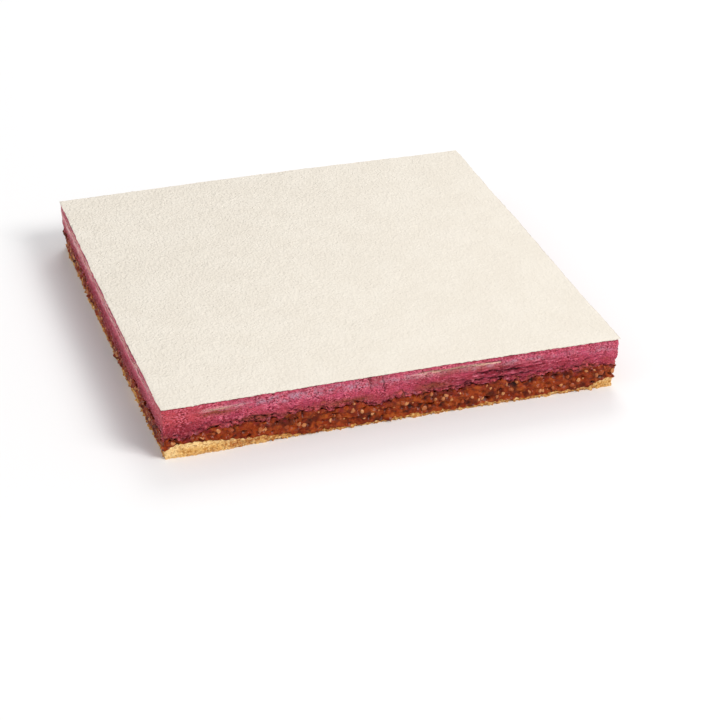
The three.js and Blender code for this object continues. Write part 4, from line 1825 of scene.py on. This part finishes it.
@dataclass
class VelvetCoat:
    """The sprayed coat: a fine bumpy sheet over the top, with a thin ragged rim.

    Attributes:
        thickness: How far below the top the wall is read that the rim follows. Lengths are in mm.
        edge_band: How far in from the rim its shape is felt.
        overhang: How far the rim stands out over the mousse.
        shoulder, shoulder_drop: How far in the sheet begins to bend down to the rim, and how far down.
        lip_out, hem_out: How far the middle and the foot of the rim swell out.
        tuck, inner_share: Sizes of the two rings of the underside, as shares of the rim's.
        inner_step: How many points of the outer ring share one of the inner ring.
        drip, sunk: How far the rim's foot runs down, and how far below the cake's height the sheet lies.
        bumps: Seed, size and height of each kind of bump.
        top_share, top_start, underside_share, underside_start: Sizes and places in the texture.
        rim_columns, rim_ends: Where the rows of the rim lie across the texture, and begin and end along it.
    """

    cake: Cake
    cells: int = 300
    thickness: float = 0.8
    edge_band: float = 6.0
    overhang: float = 0.22
    shoulder: float = 0.8
    shoulder_drop: float = 0.3
    lip_out: float = 0.1
    hem_out: float = 0.03
    tuck: float = 0.996
    inner_share: float = 0.9
    inner_step: int = 10
    drip: float = 0.16
    sunk: float = 0.28
    bumps: tuple[tuple[int, float, float], ...] = (
        (371, 2.1, 0.1), (372, 3.8, 0.05), (373, 12.0, 0.03), (374, 60.0, 0.03),
    )
    top_share: float = 0.94
    top_start: float = 0.005
    underside_share: float = 0.005
    underside_start: float = 0.948
    rim_columns: tuple[float, ...] = (0.955, 0.97, 0.98, 0.99)
    rim_ends: tuple[float, float] = (0.01, 0.99)

    def build(self) -> bpy.types.Object:
        """Builds the coat as a closed sheet.

        Returns:
            The piece.
        """
        cake, maker = self.cake, MeshMaker()
        side = cake.survey.outline.side
        half = side / 2
        axis = np.linspace(-half, half, self.cells + 1)
        x, y = np.meshgrid(axis, axis, indexing="ij")
        front, right, back, left = self._rims(axis)
        low, high = self._fade(axis + half), self._fade(half - axis)
        flat = np.stack([
            x + low[:, None] * left[None, :] - high[:, None] * right[None, :],
            y + low[None, :] * front[:, None] - high[None, :] * back[:, None],
        ], -1)
        to_edge = half - np.maximum(abs(x), abs(y))
        bend = self.shoulder_drop * np.clip(1 - to_edge / self.shoulder, 0, 1) ** 2
        z = cake.strip.height + self._relief() - bend
        sheet = maker.add_points(np.column_stack([flat.reshape(-1, 2), z.ravel()])).reshape(x.shape)
        texture = (np.stack([x, y], -1) / side + 0.5) * self.top_share + self.top_start
        self._add_sheet(maker, sheet, texture)
        self._add_rim(maker, sheet, flat)
        return maker.build("velvet_sheet", {})

    def _fade(self, to_edge: Array) -> Array:
        """How much of an edge's shape is left at a distance from it."""
        return np.clip(1 - to_edge / self.edge_band, 0, 1) ** 2

    def _rims(self, axis: Array) -> list[Array]:
        """Finds how far the rim of the coat stands in on each side.

        Args:
            axis: Places from side to side of the cake, in mm.

        Returns:
            The distances at those places on the front, the right, the back and the left.
        """
        strip, side = self.cake.strip, self.cake.survey.outline.side
        forth = np.clip(axis + side / 2, 0.0, side - strip.pitch)
        back = np.clip(side / 2 - axis, 0.0, side - strip.pitch)
        rims = []
        for start, on_side in zip(np.arange(4) * side, (forth, forth, back, back)):
            level = np.full(len(axis), strip.height - self.thickness)
            drawn = strip.at(self.cake.survey.depth, start + on_side, level) - self.overhang
            rims.append(drawn + self._ragged(strip, start + on_side))
        return rims

    @staticmethod
    def _ragged(strip: Strip, along: Array) -> Array:
        """How far the rim is nibbled in at each distance round the cake, in mm."""
        nibbled = 0.13 * strip.wander(361, 2.0) + 0.1 * strip.wander(362, 11.0)
        return strip.line(np.clip(nibbled, -0.3, 0.2), along)

    def _relief(self) -> Array:
        """Makes the relief of the sprayed surface, heavier towards the back left.

        Returns:
            A height for each place of the sheet, in mm.
        """
        shape = (self.cells + 1, self.cells + 1)
        pitch = self.cake.survey.outline.side / self.cells
        made = np.zeros(shape)
        for seed, size, height in self.bumps:
            made += height * smooth_noise(seed, shape, (size / pitch, size / pitch))
        across = np.linspace(0.0, 1.0, shape[0])
        thick = 0.9 + 0.4 * (across[None, :] - across[:, None])
        return thick * made - self.sunk

    @staticmethod
    def _add_sheet(maker: MeshMaker, sheet: Array, texture: Array) -> None:
        """Adds the faces of the top.

        Args:
            maker: The mesh in the making.
            sheet: Number of the point at each place of the sheet.
            texture: Place in the texture at each place of the sheet.
        """
        stacks = []
        for grid in (sheet, texture):
            corners = (grid[:-1, :-1], grid[1:, :-1], grid[1:, 1:], grid[:-1, 1:])
            stacks.append(np.stack([c.reshape(-1, *grid.shape[2:]) for c in corners], 1))
        maker.add_faces(*stacks)

    def _add_rim(self, maker: MeshMaker, sheet: Array, flat: Array) -> None:
        """Adds the rim and the underside, which meets the mousse.

        Args:
            maker: The mesh in the making.
            sheet: Number of the point at each place of the sheet.
            flat: Its x and y, in mm.
        """
        cake, strip, n = self.cake, self.cake.strip, self.cells
        side = cake.survey.outline.side
        border = [(slice(0, n), 0), (n, slice(0, n)), (slice(n, 0, -1), n), (0, slice(n, 0, -1))]
        top = np.concatenate([sheet[b] for b in border])
        edge = np.concatenate([flat[b] for b in border])
        along = np.arange(4 * n) * side / n
        out = cake.survey.outline.out(along)
        foot = strip.line(cake.edges.coat_foot, along)
        drips = self.drip * np.abs(smooth_noise(363, (len(top), 1), (2.2, 1.0))[:, 0])
        lip = maker.add_points(np.column_stack([edge + self.lip_out * out, (foot + strip.height) / 2]))
        hem = maker.add_points(np.column_stack([edge + self.hem_out * out, foot - drips]))
        tucked = maker.add_points(np.column_stack([edge * self.tuck, foot]))
        v = np.linspace(*self.rim_ends, len(top) + 1)
        columns = [np.column_stack([np.full(len(v), u), v]) for u in self.rim_columns]
        rings = (top, lip, hem, tucked)
        for k in range(3):
            maker.bridge(rings[k + 1], rings[k], (columns[k + 1], columns[k]))
        level = cake.level("velvet_coat", Reach.LOWEST)
        inward = self.inner_share * edge[:: self.inner_step]
        inner = maker.add_points(np.column_stack([inward, np.full(len(inward), level)]))
        middle = maker.add_points(np.array([[0.0, 0.0, level]]))
        shares = maker.all_points()[:, :2] / side + 0.5
        texture = self.underside_start + self.underside_share * shares
        maker.close(tucked, inner, middle[0], False, lambda faces: texture[faces])


@dataclass(kw_only=True)
class ScatteredLumps:
    """Many small angular lumps set in a wall, as one joined mesh.

    Attributes:
        detail: How finely the balls are divided that the lumps are cut from.
        facets: How many flat facets are cut off each lump.
        facet_depths: How far from the middle they are cut, as shares of the ball's radius.
        roughness: How rough a lump is, as a share of its size.
        sharp_angle: Facets that meet at more than this many degrees keep a hard edge.
    """

    cake: Cake
    detail: int
    seed: int
    facets: int
    facet_depths: tuple[float, float] = (0.45, 0.85)
    roughness: float = 0.05
    sharp_angle: float = 40.0

    def lumps(self, centres: Array, outs: Array, halves: Array) -> tuple[Array, Array]:
        """Shapes the lumps.

        Args:
            centres: The middle of each, in mm.
            outs: The way out of the wall at each.
            halves: Half sizes along the wall, up and inwards, in mm.

        Returns:
            The points of all lumps, lump by lump, and the corners of one lump's faces.
        """
        draw = np.random.default_rng(self.seed)
        ball = bpy.data.meshes.new("ball")
        shape = bmesh.new()
        bmesh.ops.create_icosphere(shape, subdivisions=self.detail, radius=1.0)
        shape.to_mesh(ball)
        shape.free()
        round_points = np.empty(3 * len(ball.vertices))
        ball.vertices.foreach_get("co", round_points)
        faces = np.array([p.vertices[:] for p in ball.polygons])
        bpy.data.meshes.remove(ball)
        count = len(centres)
        points = np.repeat(round_points.reshape(1, -1, 3), count, axis=0)
        for _ in range(self.facets):
            way = draw.standard_normal((count, 1, 3))
            way /= np.linalg.norm(way, axis=2, keepdims=True)
            depth = draw.uniform(*self.facet_depths, (count, 1))
            over = np.maximum(0, (points * way).sum(axis=2) - depth)
            points = points - over[..., None] * way
        points *= 1 + self.roughness * draw.standard_normal(points.shape[:2])[..., None]
        turn = draw.uniform(0, np.pi, count)
        c, s = np.cos(turn)[:, None], np.sin(turn)[:, None]
        a, b = points[..., 0] * halves[:, None, 0], points[..., 1] * halves[:, None, 1]
        a, b = c * a - s * b, s * a + c * b
        deep = points[..., 2] * halves[:, None, 2]
        ahead = np.column_stack([-outs[:, 1], outs[:, 0]])
        flat = centres[:, None, :2] + a[..., None] * ahead[:, None] + deep[..., None] * outs[:, None]
        return np.concatenate([flat, (centres[:, None, 2] + b)[..., None]], -1), faces

    def join(self, name: str, points: Array, faces: Array, marks: dict[str, Array]) -> bpy.types.Object:
        """Joins the lumps into one object.

        Args:
            name: Its name.
            points: The points of all lumps, lump by lump.
            faces: The corners of one lump's faces.
            marks: A value for each lump, by the name of the attribute.

        Returns:
            The object.
        """
        count, each = points.shape[:2]
        maker = MeshMaker()
        maker.add_points(points.reshape(-1, 3))
        corners = faces[None] + each * np.arange(count)[:, None, None]
        cells = math.ceil(math.sqrt(count * len(faces)))
        index = np.arange(count * len(faces))
        cell = np.stack([index % cells, index // cells], -1)[:, None]
        triangle = np.array([[0.1, 0.1], [0.9, 0.1], [0.1, 0.9]])
        maker.add_faces(corners.reshape(-1, 3), (cell + triangle) / cells)
        spread = {mark: np.repeat(values, each) for mark, values in marks.items()}
        return maker.build(name, {PLACE: maker.all_points(), **spread}, self.sharp_angle)


@dataclass(kw_only=True)
class ChoppedNuts(ScatteredLumps):
    """Chopped nuts, glazed or bare, that stand a little proud of the crunch.

    Attributes:
        number: How many there would be if none were left out.
        sparse_until: From the left side to this far round the front some are left out, in mm.
        left_out: The share that is left out there.
        smallest, spread: Half the length of the smallest, and how much more the largest has, in mm.
        clearance: How far they keep from the layers above and below, in mm.
        buried: How far all are pushed into the crunch, in mm.
        glaze: Range of the draws for a nut's glaze, which is then held between 0 and 1.
    """

    crunch: Crunch
    detail: int = 2
    seed: int = 401
    facets: int = 6
    number: int = 400
    sparse_until: float = 100.0
    left_out: float = 0.45
    smallest: float = 0.8
    spread: float = 1.7
    clearance: float = 0.25
    buried: float = 0.35
    glaze: tuple[float, float] = (0.1, 1.4)

    def build(self) -> bpy.types.Object:
        """Builds the nuts.

        Returns:
            The piece.
        """
        cake, strip = self.cake, self.cake.strip
        draw = np.random.default_rng(self.seed + 1)
        along = (np.arange(self.number) + draw.uniform(0, 1, self.number)) / self.number * strip.outline.whole
        sparse = (along < self.sparse_until) | (along > LEFT_SIDE_STARTS[1])
        along = along[~(sparse & (draw.uniform(0, 1, self.number) < self.left_out))]
        count = len(along)
        length = self.smallest + self.spread * draw.uniform(0, 1, count) ** 1.4
        breadth = length * draw.uniform(0.6, 0.95, count)
        halves = np.column_stack([length, breadth, length * draw.uniform(0.45, 0.7, count)])
        low = strip.line(cake.edges.base_top, along) + self.clearance
        high = strip.line(cake.edges.crunch_top, along) - self.clearance
        room = (high - low) / 2
        shrink = np.clip(room / halves.max(axis=1), 0, 1)
        halves *= shrink[:, None]
        reach = halves.max(axis=1)
        z = low + reach + (high - low - 2 * reach) * draw.uniform(0, 1, count)
        proud = draw.uniform(0.3, 0.75, count) * halves[:, 2]
        centres = cake.survey.on_wall(self.crunch.depth, along, z, halves[:, 2] - proud - self.buried)
        points, faces = self.lumps(centres, strip.outline.out(along), halves)
        glaze = np.clip(draw.uniform(*self.glaze, count), 0, 1)
        return self.join("chopped_nuts", points, faces, {"glaze": glaze})


@dataclass(kw_only=True)
class Crumbs(ScatteredLumps):
    """Crumbs that cling to the foot of the base.

    Attributes:
        sizes: Half sizes of the smallest and the largest, in mm.
        highest: How high up they lie at most, in mm.
        buried: How far they are pushed into the base, as a share of their size.
    """

    base: Base
    detail: int = 1
    seed: int = 411
    facets: int = 4
    number: int = 900
    sizes: tuple[float, float] = (0.25, 0.75)
    highest: float = 3.0
    buried: float = 0.15

    def build(self) -> bpy.types.Object:
        """Builds the crumbs.

        Returns:
            The piece.
        """
        strip = self.cake.strip
        draw = np.random.default_rng(self.seed + 1)
        along = draw.uniform(0, strip.outline.whole, self.number)
        size = draw.uniform(*self.sizes, self.number)
        halves = size[:, None] * draw.uniform(0.7, 1.1, (self.number, 3))
        reach = halves.max(axis=1)
        top = strip.line(self.cake.edges.base_top, along)
        room = np.maximum(0, np.minimum(top, self.highest) - 2 * reach)
        z = reach + room * draw.uniform(0, 1, self.number) ** 1.7
        centres = self.cake.survey.on_wall(self.base.depth, along, z, self.buried * size)
        points, faces = self.lumps(centres, strip.outline.out(along), halves)
        # Crumbs on the thin edge and on the left side are painted darker and less pale, as shade.
        bright = smooth_step(top, 3.4, 4.8) * (1 - 0.6 * smooth_step(along, *LEFT_SIDE_STARTS))
        toast = draw.uniform(0.0, 0.5, self.number) + 0.7 * (1 - bright)
        marks = {"toast": np.clip(toast, 0, 1), "torn": draw.uniform(0.2, 0.7, self.number) * bright}
        return self.join("foot_crumbs", points, faces, marks)


# ---- The studio ----


@dataclass(frozen=True)
class StudioCamera:
    """The camera that sees the cake as the photograph does.

    It looks at the middle of the cake's foot from an azimuth and an elevation, then stands aside and up by
    the two shifts, and rolls a little. Lengths are in mm.
    """

    azimuth: float = -18.609
    elevation: float = 29.902
    roll: float = 0.722
    aside: float = -23.368
    above: float = 30.811
    distance: float = 1438.588
    focal_length: float = 110.857
    sensor: float = 36.0
    clip: tuple[float, float] = (50.0, 20000.0)

    def place(self) -> None:
        """Adds the camera and makes it the scene's own."""
        az, el, roll = (math.radians(v) for v in (self.azimuth, self.elevation, self.roll))
        back = Vector((math.sin(az) * math.cos(el), -math.cos(az) * math.cos(el), math.sin(el)))
        right = Vector((0, 0, 1)).cross(back).normalized()
        up = back.cross(right)
        right, up = (
            math.cos(roll) * right + math.sin(roll) * up,
            math.cos(roll) * up - math.sin(roll) * right,
        )
        turn = Matrix((right, up, back)).transposed()
        data = bpy.data.cameras.new("camera")
        data.lens, data.sensor_width = self.focal_length, self.sensor
        data.clip_start, data.clip_end = self.clip[0] * MM, self.clip[1] * MM
        camera = bpy.data.objects.new("camera", data)
        place = turn @ (-Vector((self.aside, self.above, -self.distance)) * MM)
        camera.matrix_world = Matrix.Translation(place) @ turn.to_4x4()
        bpy.context.scene.collection.objects.link(camera)
        bpy.context.scene.camera = camera


@dataclass(frozen=True)
class Softbox:
    """A square soft light that looks at the cake. Lengths are in metres and the power is in watts."""

    name: str
    place: tuple[float, float, float]
    size: float
    power: float
    colour: Colour = (1.0, 1.0, 1.0)

    def switch_on(self) -> None:
        """Adds the light."""
        data = bpy.data.lights.new(self.name, "AREA")
        data.size, data.energy, data.color = self.size, self.power, self.colour
        light = bpy.data.objects.new(self.name, data)
        place = Vector(self.place)
        light.location = place
        light.rotation_euler = place.to_track_quat("Z", "Y").to_euler()
        bpy.context.scene.collection.objects.link(light)


@dataclass(frozen=True)
class Studio:
    """Plain pale floor, soft light and the camera."""

    floor_size: float = 8.0
    floor_colour: Colour = (0.86, 0.86, 0.865)
    floor_roughness: float = 0.9
    air_colour: Colour = (1.0, 1.0, 1.0)
    air_strength: float = 0.57
    lights: tuple[Softbox, ...] = (
        Softbox("key", (1.65, -2.0, 2.3), 1.5, 82.0, (1.0, 0.985, 0.965)),
        Softbox("back", (0.6, 1.5, 1.5), 1.0, 13.0),
        Softbox("fill", (-1.9, -0.3, 0.35), 0.9, 7.5),
    )

    def floor(self) -> bpy.types.Object:
        """Builds the floor.

        Returns:
            The floor.
        """
        half = self.floor_size / 2
        corners = [(-half, -half, 0), (half, -half, 0), (half, half, 0), (-half, half, 0)]
        mesh = bpy.data.meshes.new("floor")
        mesh.from_pydata(corners, [], [(0, 1, 2, 3)])
        material = bpy.data.materials.new("floor")
        material.use_nodes = True
        shader = material.node_tree.nodes["Principled BSDF"]
        shader.inputs["Base Color"].default_value = (*self.floor_colour, 1.0)
        shader.inputs["Roughness"].default_value = self.floor_roughness
        mesh.materials.append(material)
        floor = bpy.data.objects.new("floor", mesh)
        bpy.context.scene.collection.objects.link(floor)
        return floor

    def set_up(self) -> None:
        """Lays the floor, lights the cake and places the camera."""
        scene = bpy.context.scene
        scene.view_settings.view_transform = "Standard"
        world = bpy.data.worlds.new("air")
        world.use_nodes = True
        sky = world.node_tree.nodes["Background"]
        sky.inputs["Color"].default_value = (*self.air_colour, 1.0)
        sky.inputs["Strength"].default_value = self.air_strength
        scene.world = world
        self.floor()
        for light in self.lights:
            light.switch_on()
        StudioCamera().place()


def main() -> None:
    """Builds the cake layer by layer, then the studio round it."""
    logging.basicConfig(level=logging.INFO, format="%(name)s: %(message)s")
    cake = Cake()
    mousse = Mousse(cake)
    crunch = Crunch(cake)
    base = Base(cake)
    base_finish = SpongeFinish(
        name="base_sponge", slot="base_sponge",
        body=(0.62, 0.290, 0.064), patches=(0.92, 0.58, 0.190),
        toast=(0.40, 0.125, 0.026), torn=(0.98, 0.70, 0.33),
    )
    pale_finish = SpongeFinish(
        name="pale_sponge", slot="pale_sponge",
        body=(0.74, 0.43, 0.34), patches=(0.82, 0.56, 0.46),
        toast=(0.50, 0.20, 0.10), torn=(0.80, 0.60, 0.45),
    )
    cake.place(base.build(), base_finish, "base_sponge")
    cake.place(Crumbs(cake=cake, base=base).build(), base_finish)
    cake.place(crunch.build(), CrunchFinish(), "crunch_layer")
    cake.place(ChoppedNuts(cake=cake, crunch=crunch).build(), NutFinish())
    cake.place(mousse.build_lower(), MousseFinish(name="dark_mousse", slot="dark_mousse"), "lower_mousse")
    cake.place(MiddleSponge(cake, mousse).build(), pale_finish, "middle_sponge")
    cake.place(mousse.build_upper(), MousseFinish(name="pink_mousse", slot="pink_mousse"), "upper_mousse")
    cake.place(VelvetCoat(cake).build(), VelvetFinish(), "velvet_coat")
    Studio().set_up()


if __name__ == "__main__":
    main()
